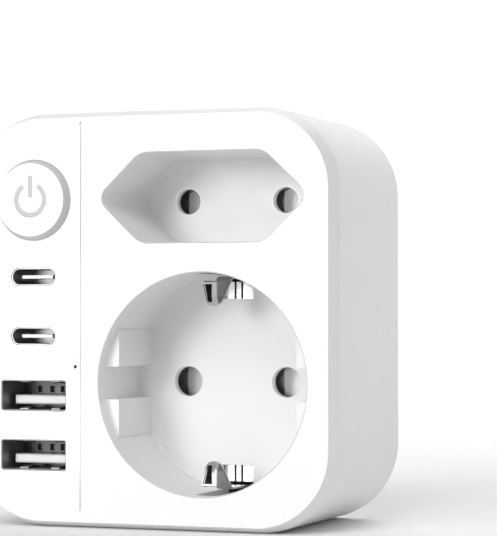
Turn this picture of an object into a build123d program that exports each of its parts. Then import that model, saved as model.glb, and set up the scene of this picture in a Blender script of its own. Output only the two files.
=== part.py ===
from build123d import *
import math
import os

# Compact travel adapter with a round earthed socket, a flat two-pin socket, four USB ports and a power
# button on the front, and a three-pin plug on the back. Millimetres. The origin is the centre of the flat
# bottom that the adapter stands on. +Z is up, the socket face looks along -Y and the plug leaves the back
# along +Y.

# Housing
width = 70.0
height = 74.0
depth = 38.0
corner_radius = 14.5
bevel_width = 1.1
bevel_depth = 3.0
side_wall = 1.8
back_wall = 1.6
face_wall = 2.0
back_edge_radius = 1.5
lap = 0.9
lap_gap = 0.1
lip_depth = 2.0

# Round boss behind the plug
boss_radius = 19.0
boss_height = 2.5
boss_wall = 1.8
boss_z = 37.0
boss_edge_radius = 0.5

# Round earthed socket
socket_x = 10.5
round_z = 25.7
round_radius = 19.65
round_floor_radius = 19.5
round_depth = 17.5
round_wall = 1.45
floor_wall = 1.7
round_pin_spacing = 19.0
round_pin_hole = 2.7
guide_x = 16.7
guide_inner_z = 2.9
guide_outer_z = 9.7
guide_front = 2.7
window_half_width = 3.16
window_inner = 15.0
window_outer = 19.0

# Earth clips: the line of the folded strip runs from its free end at the front, over the nose, down to the
# wall of the recess and out through the floor, as distance behind the face and from the socket's axis
clip_line = ((4.3, 17.9), (5.2, 15.2), (6.9, 13.5), (8.7, 15.3), (11.6, 18.75), (19.1, 18.85))
clip_radii = (1.6, 0.95, 1.6, 1.2)
clip_sheet = 0.5
clip_half_width = 1.5
clip_slot_half_width = 0.8
clip_cheek = 0.4
clip_pocket_half_width = 2.2
clip_pocket_reach = 20.6
clip_pocket_front = 3.0
clip_pad_half_width = 3.4
clip_pad_reach = 21.9

# Flat two-pin socket
flat_z = 58.4
flat_half_height = 8.05
flat_shoulder = 11.64
flat_tip = 20.03
flat_shoulder_radius = 3.8
flat_tip_radius = 2.4
flat_depth = 17.25
flat_draft = 0.35
flat_wall = 1.4
flat_pin_spacing = 18.8
flat_pin_hole = 2.3

# Ports in the left column of the face
port_x = -21.7
usb_c_z = (44.6, 34.0)
usb_a_z = (23.4, 12.8)
usb_c_size = (8.94, 3.26)
usb_a_size = (13.1, 5.72)
usb_c_tongue = (6.69, 0.7)
usb_a_tongue = (11.1, 1.7)
usb_c_tongue_recess = 1.1
usb_a_tongue_recess = 3.5
usb_a_tongue_shift = -0.85
usb_c_core_depth = 10.4
usb_a_core_depth = 10.8
shell_sheet = 0.3
port_gap = 0.1
port_recess = 0.1

# Power button and its switch
button_x = -21.7
button_z = 58.3
button_radius = 7.35
button_top_radius = 6.6
button_proud = 1.55
button_edge = 0.15
button_travel = 1.5
button_gap = 0.15
button_skin = 1.4
button_side = 1.25
button_flange = 1.05
button_skirt_depth = 4.1
button_stem_depth = 5.0
button_stem_radius = 2.2
plunger_size = 2.5
plunger_depth = 9.4
switch_size = 8.0
switch_depth = 7.4

# Power symbol
ring_radius = 3.1
ring_band = 0.65
ring_opening = 38.0
bar_width = 0.7
bar_low = 0.45
bar_high = 4.3
symbol_depth = 0.5

# Groove line and indicator pinhole
groove_x = -12.4
groove_low = 3.2
groove_high = 71.7
groove_width = 0.35
groove_depth = 0.35
groove_end_radius = 0.4
pinhole_x = -13.5
pinhole_z = 28.6
pinhole_radius = 0.28
light_pipe_radius = 0.8

# Plug on the back
blade_spacing = 12.7
blade_height = 6.35
blade_sheet = 1.5
blade_length = 17.7
blade_z = 42.8
blade_hole_radius = 1.75
blade_hole_from_tip = 6.0
blade_tail = 5.0
blade_shoulder = 8.8
ground_z = 30.9
ground_radius = 2.4
ground_length = 21.0
ground_tail_radius = 1.5
ground_shoulder_radius = 2.6
ground_collar_radius = 3.4
ground_ring_width = 0.25
ground_ring_depth = 0.25
plug_gap = 0.05
retainer_front = 17.9
retainer_back = 18.9

# Shutters
shutter_gap = 0.3
ramp_depth = 5.7
round_ramp_half = 3.0
flat_ramp_half = 2.8
shutter_strip = 1.0
shutter_strip_depth = 1.3
shutter_strip_gap = 0.15
rail_gap = 0.25
rail_sheet = 1.0
shutter_spring_radius = 1.45
shutter_spring_wire = 0.35
spring_seat = 1.9

# Contacts, bars and wires
contact_sheet = 0.5
contact_inner = {"round": 2.45, "flat": 2.05}
chamber_half = 4.1
chamber_wall = 0.6
bar_front = 15.6
bar_sheet = 0.8
wire_radius = 0.7

# Boards
board_sheet = 1.6
board_corner = 1.5
port_board_front = -4.6
mains_board_front = 14.6

# Screws, and the posts and stakes that hold them
housing_post_radius = 2.6
housing_pilot_radius = 1.05
housing_sleeve_radius = 3.4
housing_screw_hole = 1.4
screw_pocket_radius = 2.4
screw_pocket_depth = 4.0
board_post_radius = 1.8
board_pilot_radius = 0.8
board_hole = 1.15
stake_radius = 0.85
stake_foot_radius = 1.9
stake_hole = 0.95
retainer_stake_radius = 1.2
link_pin_radius = 0.4
link_pin_hole = 0.45
post_end = 1.8
post_gap = 0.2

# Places across the face, X and Z
housing_screw_places = ((-9.3, 6.2), (-9.3, 67.6), (28.2, 7.1), (28.2, 66.9))
board_screw_places = ((-30.4, 18.1), (-29.8, 39.3), (-14.0, 39.3))
mains_stake_places = ((-30.2, 14.5), (-30.2, 59.5), (-9.0, 30.0))
link_pin_places = tuple((-25.5 + 2.54 * i, 62.2) for i in range(4))
transformer_box = ((-29.0, -15.0), (2.6, mains_board_front), (27.0, 40.0))

# Levels and places worked out from the sizes above
front_y = -depth / 2
back_y = depth / 2
seam_y = front_y + bevel_depth
face_back = front_y + face_wall
back_inner = back_y - back_wall
boss_y = back_y + boss_height
boss_inner = boss_y - boss_wall
round_floor = front_y + round_depth
round_back = round_floor + floor_wall
flat_floor = front_y + flat_depth
flat_back = flat_floor + floor_wall
shutter_room = shutter_gap + ramp_depth + shutter_gap
round_shutter_travel = round_ramp_half + round_pin_hole + 0.1
round_shutter_half = round_pin_hole + shutter_strip_gap + shutter_strip
flat_shutter_half = flat_pin_hole + shutter_strip_gap + shutter_strip
round_pins = (socket_x - round_pin_spacing / 2, socket_x + round_pin_spacing / 2)
flat_pins = (socket_x - flat_pin_spacing / 2, socket_x + flat_pin_spacing / 2)
blade_places = (socket_x - blade_spacing / 2, socket_x + blade_spacing / 2)
retainer_stake_places = ((socket_x - 12.2, boss_z), (socket_x + 12.2, boss_z))
button_top = front_y - button_proud
switch_front = front_y + switch_depth
port_board_back = port_board_front + board_sheet
mains_board_back = mains_board_front + board_sheet


def at(y):
    # Plane across the object at y: its x is X, its y is Z, and it looks along -Y.
    return Plane(origin=(0, y, 0), x_dir=(1, 0, 0), z_dir=(0, -1, 0))


def slab(sketch, front, back):
    return extrude(at(back) * sketch, amount=back - front)


def rod(x, z, radius, front, back):
    return slab(Pos(x, z) * Circle(radius), front, back)


def block(x_pair, y_pair, z_pair):
    pairs = (x_pair, y_pair, z_pair)
    centre = [(low + high) / 2 for low, high in pairs]
    return Pos(*centre) * Box(*[high - low for low, high in pairs])


def side_plate(sketch, left, right):
    # A sketch drawn in Y and Z, made solid from left to right.
    return extrude(Plane.YZ.offset(left) * sketch, amount=right - left)


def about(middle, half):
    return middle - half, middle + half


def outline(inset):
    radius = corner_radius - inset
    return Pos(0, height / 2) * RectangleRounded(width - 2 * inset, height - 2 * inset, radius)


def tapered(front_sketch, front, back_sketch, back):
    return loft([at(front) * front_sketch, at(back) * back_sketch], ruled=True)


def both_sides(piece, z):
    # The piece and its mirror image above and below the level z.
    return piece + mirror(piece, about=Plane.XY.offset(z))


def coil(radius, wire, turns, start, end):
    # A round-wire helical spring between two points.
    start, end = Vector(*start), Vector(*end)
    along = end - start
    pitch = along.length / turns
    helix = Helix(pitch=pitch, height=along.length, radius=radius, center=start, direction=along)
    return sweep(Plane(helix @ 0, z_dir=helix % 0) * Circle(wire / 2), path=helix)


# Outlines of the openings, which the pieces behind the face share

def flat_outline(grow):
    # The long hexagon of the two-pin socket, grown outwards by an even margin.
    lean = math.atan2(flat_half_height, flat_tip - flat_shoulder)
    tip = flat_tip + grow / math.sin(lean)
    half_height = flat_half_height + grow
    shoulder = flat_shoulder + grow * math.tan(lean / 2)
    shape = Polygon((tip, 0), (shoulder, half_height), (-shoulder, half_height), (-tip, 0),
                    (-shoulder, -half_height), (shoulder, -half_height), align=None)
    tips = [corner for corner in shape.vertices() if abs(corner.Y) < 0.01]
    shape = fillet(tips, flat_tip_radius + grow)
    shoulders = [corner for corner in shape.vertices() if abs(abs(corner.Y) - half_height) < 0.01]
    return Pos(socket_x, flat_z) * fillet(shoulders, flat_shoulder_radius + grow)


def usb_c_outline(z, grow):
    long_side, short_side = usb_c_size
    corner = short_side / 2 + grow - 0.01
    return Pos(port_x, z) * RectangleRounded(long_side + 2 * grow, short_side + 2 * grow, corner)


def usb_a_outline(z, grow):
    long_side, short_side = usb_a_size
    return Pos(port_x, z) * RectangleRounded(long_side + 2 * grow, short_side + 2 * grow, 0.5 + grow)


# Housing

def make_front_cover():
    cover = tapered(outline(bevel_width), front_y, outline(0), seam_y)
    cover -= slab(outline(side_wall), face_back, seam_y + 1)
    cover += slab(outline(lap + lap_gap) - outline(side_wall), seam_y, seam_y + lip_depth)
    inside = slab(outline(side_wall + lap_gap), face_back, post_end)
    for x, z in housing_screw_places:
        post = rod(x, z, housing_post_radius, face_back, post_end) & inside
        cover += post - rod(x, z, housing_pilot_radius, front_y + 7, post_end)
    for x, z in board_screw_places:
        post = rod(x, z, board_post_radius, face_back, port_board_front)
        cover += post - rod(x, z, board_pilot_radius, front_y + 8, port_board_front)
    pipe_end = front_y + 5.0
    cover += rod(pinhole_x, pinhole_z, 1.5, face_back, pipe_end)
    before = front_y - 1
    groove_back = front_y + groove_depth
    cuts = [
        rod(socket_x, round_z, round_radius, before, face_back),
        slab(flat_outline(0), before, face_back),
        rod(button_x, button_z, button_radius + button_gap, before, face_back),
        rod(pinhole_x, pinhole_z, pinhole_radius, before, pipe_end),
        rod(pinhole_x, pinhole_z, light_pipe_radius + 0.05, front_y + 0.9, pipe_end),
        block(about(groove_x, groove_width / 2), (before, groove_back), (groove_low, groove_high)),
        rod(groove_x, groove_high, groove_end_radius, before, groove_back),
    ]
    cuts += [slab(usb_c_outline(z, port_gap), before, face_back) for z in usb_c_z]
    cuts += [slab(usb_a_outline(z, port_gap), before, face_back) for z in usb_a_z]
    for cut in cuts:
        cover -= cut
    return cover


def make_rear_housing():
    body = slab(outline(0), seam_y, back_y)
    body = fillet(body.edges().group_by(Axis.Y)[-1], back_edge_radius)
    boss = rod(socket_x, boss_z, boss_radius, back_inner, boss_y)
    body += fillet(boss.edges().group_by(Axis.Y)[-1], boss_edge_radius)
    body -= slab(outline(side_wall), seam_y, back_inner)
    body -= slab(outline(lap), seam_y, seam_y + lip_depth + lap_gap)
    body -= rod(socket_x, boss_z, boss_radius - side_wall, back_inner, boss_inner)
    inside = slab(outline(side_wall / 2), seam_y, back_inner)
    for x, z in housing_screw_places:
        body += rod(x, z, housing_sleeve_radius, post_end + post_gap, back_inner) & inside
        body -= rod(x, z, housing_screw_hole, 0, back_y + 1)
        body -= rod(x, z, screw_pocket_radius, back_y - screw_pocket_depth, back_y + 1)
    for x, z in mains_stake_places:
        body += rod(x, z, stake_foot_radius, mains_board_back, back_inner)
        body += rod(x, z, stake_radius, mains_board_front - 0.4, back_inner)
    for x, z in retainer_stake_places:
        body += rod(x, z, retainer_stake_radius, retainer_front - 0.3, boss_inner)
    slot = Rectangle(blade_sheet + 2 * plug_gap, blade_height + 2 * plug_gap)
    for x in blade_places:
        body -= slab(Pos(x, blade_z) * slot, back_inner, boss_y + 1)
    return body - rod(socket_x, ground_z, ground_shoulder_radius + plug_gap, back_inner, boss_y + 1)


# Socket inserts, with the rails that guide the shutters

def shutter_rails(z, half, back, left, right):
    low = z + half + rail_gap
    return both_sides(block((left, right), (back, back + shutter_room), (low, low + rail_sheet)), z)


def make_round_insert():
    outer = round_radius + round_wall
    insert = rod(socket_x, round_z, outer, face_back, round_back)
    pad = block(about(socket_x, clip_pad_half_width), (face_back, round_back),
                (round_z + round_radius, round_z + clip_pad_reach))
    insert += both_sides(pad, round_z)
    middle = Pos(socket_x, round_z)
    insert -= tapered(middle * Circle(round_radius), face_back,
                      middle * Circle(round_floor_radius), round_floor)
    guides = block((socket_x + guide_x, socket_x + outer), (front_y + guide_front, round_back),
                   (round_z + guide_inner_z, round_z + guide_outer_z))
    guides = both_sides(guides, round_z)
    guides += mirror(guides, about=Plane.YZ.offset(socket_x))
    insert += guides & rod(socket_x, round_z, outer - 0.3, face_back, round_back)
    window = block(about(socket_x, window_half_width), (round_floor - 0.01, round_back),
                   (round_z + window_inner, round_z + window_outer))
    pocket = block(about(socket_x, clip_pocket_half_width), (front_y + clip_pocket_front, round_back),
                   (round_z + 18.0, round_z + clip_pocket_reach))
    insert -= both_sides(window + pocket, round_z)
    for x in round_pins:
        insert -= rod(x, round_z, round_pin_hole, round_floor - 1, round_back + 1)
    right = round_pins[1] + round_ramp_half + round_shutter_travel + 0.6
    return insert + shutter_rails(round_z, round_shutter_half, round_back, socket_x - 14, right)


def make_flat_insert():
    insert = slab(flat_outline(flat_wall), face_back, flat_floor)
    return insert - tapered(flat_outline(0), face_back, flat_outline(-flat_draft), flat_floor)


def make_flat_floor():
    floor = slab(flat_outline(flat_wall), flat_floor, flat_back)
    for x in flat_pins:
        floor -= rod(x, flat_z, flat_pin_hole, flat_floor - 1, flat_back + 1)
    return floor + shutter_rails(flat_z, flat_shutter_half, flat_back, socket_x - 13.6, socket_x + 14.4)


# Shutters: a sloping block behind each pin hole, so that two pins together push it to the right, and two
# strips that join the blocks above and below the holes, clear of both when the shutter is open

def make_shutter(pins, z, half, tall, front):
    back = front + ramp_depth
    strip = block(pins, (back - shutter_strip_depth, back), (z + tall - shutter_strip, z + tall))
    shutter = both_sides(strip, z)
    for x in pins:
        slope = Polygon((x + half, front), (x + half, back), (x - half, back), (x - half, back - 0.5),
                        align=None)
        shutter += Pos(0, 0, z - tall) * extrude(slope, amount=2 * tall)
    right = pins[1] + half
    seat_y = back - 1.0 - spring_seat
    return shutter - block((right - 0.8, right + 1), about(seat_y, spring_seat), about(z, spring_seat))


def make_shutter_spring(pins, z, half, front):
    y = front + ramp_depth - 1.0 - spring_seat
    start = pins[1] + half - 0.8 + 0.1 + shutter_spring_wire / 2
    end = width / 2 - side_wall - shutter_spring_wire / 2
    return coil(shutter_spring_radius, shutter_spring_wire, 8, (start, y, z), (end, y, z))


# Contacts behind the sockets, and the bars that join them

def make_contact(x, z, inner, front):
    # A slotted tube that grips the pin, on a ring that lies against the bar.
    tube = rod(x, z, inner + contact_sheet, front, bar_front)
    tube += rod(x, z, inner + 0.9, bar_front - 0.8, bar_front)
    tube -= rod(x, z, inner, front - 1, bar_front + 1)
    return tube - block(about(x, 0.4), (front - 1, bar_front - 2.2), about(z, 5))


def make_carrier(pins, z, front, hole):
    plate = front + 1.2
    carrier = block((pins[0] - 5.6, pins[1] + 5.6), (front, plate), about(z, 5.6))
    inner = chamber_half - chamber_wall
    for x in pins:
        carrier += block(about(x, chamber_half), (front, bar_front - 0.1), about(z, chamber_half))
        carrier -= block(about(x, inner), (plate, bar_front), about(z, inner))
        carrier -= rod(x, z, hole, front - 1, plate + 1)
    return carrier


def make_bus_bar(side):
    # side is +1 on the right of the plug's middle and -1 on its left.
    back = bar_front + bar_sheet
    edges = sorted((socket_x + side * 4.7, socket_x + side * 12.9))
    bar = block(edges, (bar_front, back), (round_z - 4.2, flat_z + 4.2))
    bar -= rod(socket_x + side * round_pin_spacing / 2, round_z, round_pin_hole, bar_front - 1, back + 1)
    bar -= rod(socket_x + side * flat_pin_spacing / 2, flat_z, flat_pin_hole + 0.2, bar_front - 1, back + 1)
    return bar - tail_slot(socket_x + side * blade_spacing / 2, bar_front, back)


def tail_slot(x, front, back):
    slot = Rectangle(blade_sheet + 2 * plug_gap, blade_tail + 2 * plug_gap)
    return slab(Pos(x, blade_z) * slot, front - 1, back + 1)


def make_earth_bar():
    back = bar_front + bar_sheet
    near, far = 13.5, 14.1
    front = round_back + 0.2
    slit_z = (round_z + 14.9, round_z + 19)
    bar = block(about(socket_x, 2.5), (bar_front, back), about(round_z, far))
    leg = block(about(socket_x, 2.5), (front, back), (round_z + near, round_z + far))
    tab = block(about(socket_x, 4.0), (front, front + 0.6), (round_z + near, round_z + 18.1))
    for side in (-1, 1):
        tab -= block(about(socket_x + side * 0.68, 0.15), (round_back, front + 1), slit_z)
    bar += both_sides(leg + tab, round_z)
    return bar - rod(socket_x, ground_z, ground_tail_radius + plug_gap, bar_front - 1, back + 1)


def make_earth_clip():
    points = [(front_y + back, round_z + reach) for back, reach in clip_line]
    strip = trace(FilletPolyline(*points, radius=clip_radii), line_width=clip_sheet)
    clip = side_plate(strip, *about(socket_x, clip_half_width))
    clip -= block(about(socket_x, clip_slot_half_width), (front_y + 3.5, front_y + 5.9),
                  (round_z + 14.9, round_z + 18.6))
    arch = FilletPolyline(*points[:5], radius=clip_radii[:3])
    cheek = make_face(arch + Line(arch @ 1, arch @ 0))
    for left in (socket_x - clip_half_width + 0.2, socket_x + clip_half_width - 0.2 - clip_cheek):
        clip += side_plate(cheek, left, left + clip_cheek)
    return clip


# Plug

def make_blade(x):
    tip = boss_y + blade_length
    half = blade_height / 2
    left, right = about(x, blade_sheet / 2)
    tip_slope, tip_half = 1.4, 1.175
    free_part = Polygon((boss_y - 2, -half), (tip - tip_slope, -half), (tip, -tip_half), (tip, tip_half),
                        (tip - tip_slope, half), (boss_y - 2, half), align=None)
    blade = side_plate(Pos(0, blade_z) * free_part, left, right)
    blade = chamfer(blade.edges().group_by(Axis.Y)[-1], 0.35)
    hole = Pos(x, tip - blade_hole_from_tip, blade_z) * Rot(0, 90, 0) * Cylinder(blade_hole_radius, 5)
    shoulder = block((left, right), (retainer_back + plug_gap, boss_inner - plug_gap),
                     about(blade_z, blade_shoulder / 2))
    tail = block((left, right), (bar_front - 0.4, boss_y - 2), about(blade_z, blade_tail / 2))
    return blade - hole + shoulder + tail


def make_ground_pin():
    # From the tip inwards: dome, ring groove, free length, shoulder in the boss, collar and thin tail.
    straight = boss_y + ground_length - ground_radius
    ring = straight - ground_ring_width
    pin = rod(socket_x, ground_z, ground_radius, boss_y, ring)
    pin += rod(socket_x, ground_z, ground_radius - ground_ring_depth, ring, straight)
    dome = Pos(socket_x, straight, ground_z) * Sphere(ground_radius)
    reach = ground_radius + 1
    pin += dome - block(about(socket_x, reach), (straight - reach, straight), about(ground_z, reach))
    pin += rod(socket_x, ground_z, ground_shoulder_radius, boss_inner - plug_gap, boss_y)
    pin += rod(socket_x, ground_z, ground_collar_radius, retainer_back + plug_gap, boss_inner - plug_gap)
    return pin + rod(socket_x, ground_z, ground_tail_radius, bar_front - 0.4, retainer_back + plug_gap)


def make_retainer():
    plate = rod(socket_x, boss_z, boss_radius - side_wall - 0.6, retainer_front, retainer_back)
    for x in blade_places:
        plate -= tail_slot(x, retainer_front, retainer_back)
    plate -= rod(socket_x, ground_z, ground_tail_radius + plug_gap, retainer_front - 1, retainer_back + 1)
    for x, z in retainer_stake_places:
        plate -= rod(x, z, retainer_stake_radius + plug_gap, retainer_front - 1, retainer_back + 1)
    return plate


# Power button and switch

def make_button():
    skirt = front_y + button_skirt_depth
    stem = front_y + button_stem_depth
    inner = button_top + button_skin
    middle = Pos(button_x, button_z)
    cap = tapered(middle * Circle(button_top_radius), button_top, middle * Circle(button_radius), front_y)
    cap = fillet(cap.edges().group_by(Axis.Y)[0], button_edge)
    cap += rod(button_x, button_z, button_radius, front_y, skirt)
    cap += rod(button_x, button_z, button_radius + button_flange, face_back + button_gap, face_back + 1.15)
    cap -= rod(button_x, button_z, button_radius - button_side, inner, skirt + 1)
    cap += rod(button_x, button_z, button_stem_radius, inner, stem)
    socket = middle * Rectangle(plunger_size + 0.1, plunger_size + 0.1)
    cap -= slab(socket, button_top + 2.6, stem + 1)
    return cap - make_symbol(0.03, button_top - 1)


def make_symbol(grow, front):
    # The ring with its open top and the upright bar, let into the cap.
    opening = math.radians(ring_opening)
    ring = Circle(ring_radius + grow) - Circle(ring_radius - ring_band - grow)
    reach = ring_radius + 1
    across, up = reach * math.sin(opening), reach * math.cos(opening)
    ring -= Polygon((0, 0), (across, up), (0, 2 * reach), (-across, up), align=None)
    bar = Pos(0, (bar_low + bar_high) / 2) * Rectangle(bar_width + 2 * grow, bar_high - bar_low + 2 * grow)
    return slab(Pos(button_x, button_z) * (ring + bar), front, button_top + symbol_depth)


def make_plunger():
    square = Pos(button_x, button_z) * Rectangle(plunger_size, plunger_size)
    return slab(square, button_top + 2.7, front_y + plunger_depth)


def make_switch_body():
    body = slab(Pos(button_x, button_z) * RectangleRounded(switch_size, switch_size, 0.6), switch_front,
                port_board_front)
    bore = Pos(button_x, button_z) * Rectangle(plunger_size + 0.6, plunger_size + 0.6)
    return body - slab(bore, switch_front - 1, front_y + 12.0)


def make_button_spring():
    wire = 0.45
    start = button_top + button_skin + 0.1 + wire / 2
    end = switch_front - wire / 2 - 0.05
    return coil(3.3, wire, 6, (button_x, start, button_z), (button_x, end, button_z))


# USB ports

def make_usb_c_shell(z):
    return slab(usb_c_outline(z, 0) - usb_c_outline(z, -shell_sheet), front_y + port_recess, port_board_front)


def make_usb_c_tongue(z):
    core_front = front_y + usb_c_core_depth
    core = slab(usb_c_outline(z, -shell_sheet), core_front, port_board_front)
    tongue = slab(Pos(port_x, z) * Rectangle(*usb_c_tongue), front_y + usb_c_tongue_recess, core_front)
    return core + chamfer(tongue.edges().group_by(Axis.Y)[0], 0.15)


def make_usb_a_shell(z):
    front = front_y + port_recess
    shell = slab(usb_a_outline(z, 0) - usb_a_outline(z, -shell_sheet), front, port_board_front)
    inner = usb_a_size[1] / 2 - shell_sheet
    for side in (-1, 1):
        level = z + side * inner
        spring_points = ((front + 7.4, level + side * 0.12), (front + 4.6, level - side * 0.42),
                         (front + 2.5, level - side * 0.05))
        spring = trace(Polyline(*spring_points), line_width=0.22)
        for x in (port_x - 3.1, port_x + 3.1):
            slot_z = sorted((level - side * 0.1, level + side))
            shell -= block(about(x, 1.0), (front + 2.2, front + 7.2), slot_z)
            shell += side_plate(spring, *about(x, 0.8))
    return shell


def make_usb_a_tongue(z):
    core_front = front_y + usb_a_core_depth
    core = slab(usb_a_outline(z, -shell_sheet), core_front, port_board_front)
    tongue = Pos(port_x, z + usb_a_tongue_shift) * Rectangle(*usb_a_tongue)
    return core + slab(tongue, front_y + usb_a_tongue_recess, core_front)


def make_usb_a_contacts(z):
    top = z + usb_a_tongue_shift + usb_a_tongue[1] / 2
    y_pair = (front_y + usb_a_tongue_recess + 0.4, front_y + usb_a_core_depth - 0.1)
    places = (-3.5, -1.0, 1.0, 3.5)
    return Compound([block(about(port_x + x, 0.5), y_pair, (top, top + 0.18)) for x in places])


# Boards and what stands on them

def make_board(x, z, across, up, front, fixings, hole_radius):
    back = front + board_sheet
    board = slab(Pos(x, z) * RectangleRounded(across, up, board_corner), front, back)
    holes = [(place, hole_radius) for place in fixings]
    holes += [(place, link_pin_hole) for place in link_pin_places]
    for (hole_x, hole_z), radius in holes:
        board -= rod(hole_x, hole_z, radius, front - 1, back + 1)
    return board


def make_transformer_core():
    # Two outer legs and a middle leg between two yokes.
    (left, right), (front, back), (low, high) = transformer_box
    core = block(*transformer_box)
    core -= block((left + 3.4, right - 3.4), (front - 1, back + 1), (low + 2.8, high - 2.8))
    return core + block((left, right), (front + 3.0, back - 3.0), (low + 4.6, high - 4.6))


def make_transformer_winding():
    (left, right), (front, back), (low, high) = transformer_box
    winding = block((left + 3.5, right - 3.5), (front + 0.6, back - 0.1), (low + 2.9, high - 2.9))
    return winding - block((left, right), (front + 2.95, back - 2.95), (low + 4.55, high - 4.55))


def make_capacitors(places, radius, length):
    cans = []
    front = mains_board_front - length
    for x, z in places:
        can = rod(x, z, radius, front, mains_board_front)
        can = fillet(can.edges().group_by(Axis.Y)[0], 0.5)
        bead = (mains_board_front - 1.9, mains_board_front - 1.4)
        cans.append(can - (rod(x, z, radius + 1, *bead) - rod(x, z, radius - 0.35, *bead)))
    return Compound(cans)


def make_choke():
    x, z = -11.5, 20.5
    front, waist_front, waist_back = mains_board_front - 8, mains_board_front - 6.8, mains_board_front - 1.2
    choke = rod(x, z, 3.4, front, mains_board_front)
    return choke - (rod(x, z, 4, waist_front, waist_back) - rod(x, z, 2.6, waist_front, waist_back))


def make_fuse():
    x, y, z = -10.2, mains_board_front - 2.1, 39.0
    body = Pos(x, y, z) * Cylinder(1.7, 7.0)
    for cap_z in about(z, 3.6):
        body += Pos(x, y, cap_z) * Cylinder(2.0, 1.8)
        body += block(about(x, 0.3), (y, mains_board_front), about(cap_z, 0.3))
    return body


def make_wire(across, forward, z, radius):
    # From a bus bar forward, across to the left and back to the mains board.
    left = -8.6
    points = ((across, bar_front, z), (across, forward, z), (left, forward, z), (left, mains_board_front, z))
    path = FilletPolyline(*points, radius=radius)
    return sweep(Plane(path @ 0, z_dir=path % 0) * Circle(wire_radius), path=path)


def make_screws(places, head_front, head, head_radius, tip, radius):
    # Cross-head screws that are driven from behind, along -Y.
    screws = []
    head_back = head_front + head
    cross = Rectangle(head_radius * 1.1, 0.5) + Rectangle(0.5, head_radius * 1.1)
    for x, z in places:
        screw = rod(x, z, head_radius, head_front, head_back)
        screw = fillet(screw.edges().group_by(Axis.Y)[-1], 0.4)
        screw += rod(x, z, radius, tip, head_front)
        screws.append(screw - slab(Pos(x, z) * cross, head_back - 0.8, head_back + 1))
    return Compound(screws)


def make_rectifier():
    package = block((-15.6, -9.4), (mains_board_front - 1.6, mains_board_front), (56.2, 60.8))
    return chamfer(package.edges().group_by(Axis.Y)[0], 0.3)


round_shutter_front = round_back + shutter_gap
flat_shutter_front = flat_back + shutter_gap
round_carrier_front = round_back + shutter_room
flat_carrier_front = flat_back + shutter_room

parts = {
    "front_cover": make_front_cover(),
    "rear_housing": make_rear_housing(),
    "round_socket_insert": make_round_insert(),
    "flat_socket_insert": make_flat_insert(),
    "flat_socket_floor": make_flat_floor(),
    "power_button": make_button(),
    "power_symbol": make_symbol(0.0, button_top + 0.03),
    "switch_plunger": make_plunger(),
    "switch_body": make_switch_body(),
    "button_spring": make_button_spring(),
    "round_shutter": make_shutter(round_pins, round_z, round_ramp_half, round_shutter_half,
                                  round_shutter_front),
    "flat_shutter": make_shutter(flat_pins, flat_z, flat_ramp_half, flat_shutter_half,
                                 flat_shutter_front),
    "round_shutter_spring": make_shutter_spring(round_pins, round_z, round_ramp_half, round_shutter_front),
    "flat_shutter_spring": make_shutter_spring(flat_pins, flat_z, flat_ramp_half, flat_shutter_front),
    "round_contact_carrier": make_carrier(round_pins, round_z, round_carrier_front, 2.9),
    "flat_contact_carrier": make_carrier(flat_pins, flat_z, flat_carrier_front, 2.5),
    "earth_clip_top": make_earth_clip(),
    "earth_clip_bottom": mirror(make_earth_clip(), about=Plane.XY.offset(round_z)),
    "earth_bar": make_earth_bar(),
    "line_bus_bar": make_bus_bar(1),
    "neutral_bus_bar": make_bus_bar(-1),
    "line_blade": make_blade(blade_places[1]),
    "neutral_blade": make_blade(blade_places[0]),
    "ground_pin": make_ground_pin(),
    "blade_retainer": make_retainer(),
    "port_board": make_board(port_x, 37.1, 19.4, 55.8, port_board_front, board_screw_places, board_hole),
    "mains_board": make_board(-19.5, 37.0, 25.8, 53.0, mains_board_front, mains_stake_places, stake_hole),
    "transformer_core": make_transformer_core(),
    "transformer_winding": make_transformer_winding(),
    "mains_capacitors": make_capacitors(((-26.6, 50.5), (-17.6, 50.5)), 4.0, 11.0),
    "output_capacitors": make_capacitors(((-26.5, 19.0), (-18.8, 19.0)), 3.15, 9.0),
    "input_choke": make_choke(),
    "bridge_rectifier": make_rectifier(),
    "mains_fuse": make_fuse(),
    "port_chips": Compound([block((-25.5, -20.5), (port_board_back, port_board_back + 1.1), (z, z + 5.0))
                            for z in (15.5, 36.5)]),
    "indicator_led": block(about(pinhole_x, 0.8), (port_board_front - 0.8, port_board_front),
                           about(pinhole_z, 0.5)),
    "light_pipe": rod(pinhole_x, pinhole_z, light_pipe_radius, front_y + 1.0, port_board_front - 0.9),
    "board_link_pins": Compound([rod(x, z, link_pin_radius, port_board_front, mains_board_back + 0.6)
                                 for x, z in link_pin_places]),
    "line_wire": make_wire(17.0, 9.0, 50.5, 2.4),
    "neutral_wire": make_wire(3.0, 10.0, 46.5, 2.0),
    "housing_screws": make_screws(housing_screw_places, back_y - screw_pocket_depth, 1.8, 2.2, -8.0,
                                  housing_pilot_radius),
    "board_screws": make_screws(board_screw_places, port_board_back, 1.2, 1.7, -10.0, board_pilot_radius),
}
for side, number in (("neutral", 0), ("line", 1)):
    parts[f"round_contact_{side}"] = make_contact(round_pins[number], round_z, contact_inner["round"],
                                                  round_carrier_front + 1.3)
    parts[f"flat_contact_{side}"] = make_contact(flat_pins[number], flat_z, contact_inner["flat"],
                                                 flat_carrier_front + 1.3)
for place, number in (("upper", 0), ("lower", 1)):
    parts[f"usb_c_shell_{place}"] = make_usb_c_shell(usb_c_z[number])
    parts[f"usb_c_tongue_{place}"] = make_usb_c_tongue(usb_c_z[number])
    parts[f"usb_a_shell_{place}"] = make_usb_a_shell(usb_a_z[number])
    parts[f"usb_a_tongue_{place}"] = make_usb_a_tongue(usb_a_z[number])
    parts[f"usb_a_contacts_{place}"] = make_usb_a_contacts(usb_a_z[number])

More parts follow.
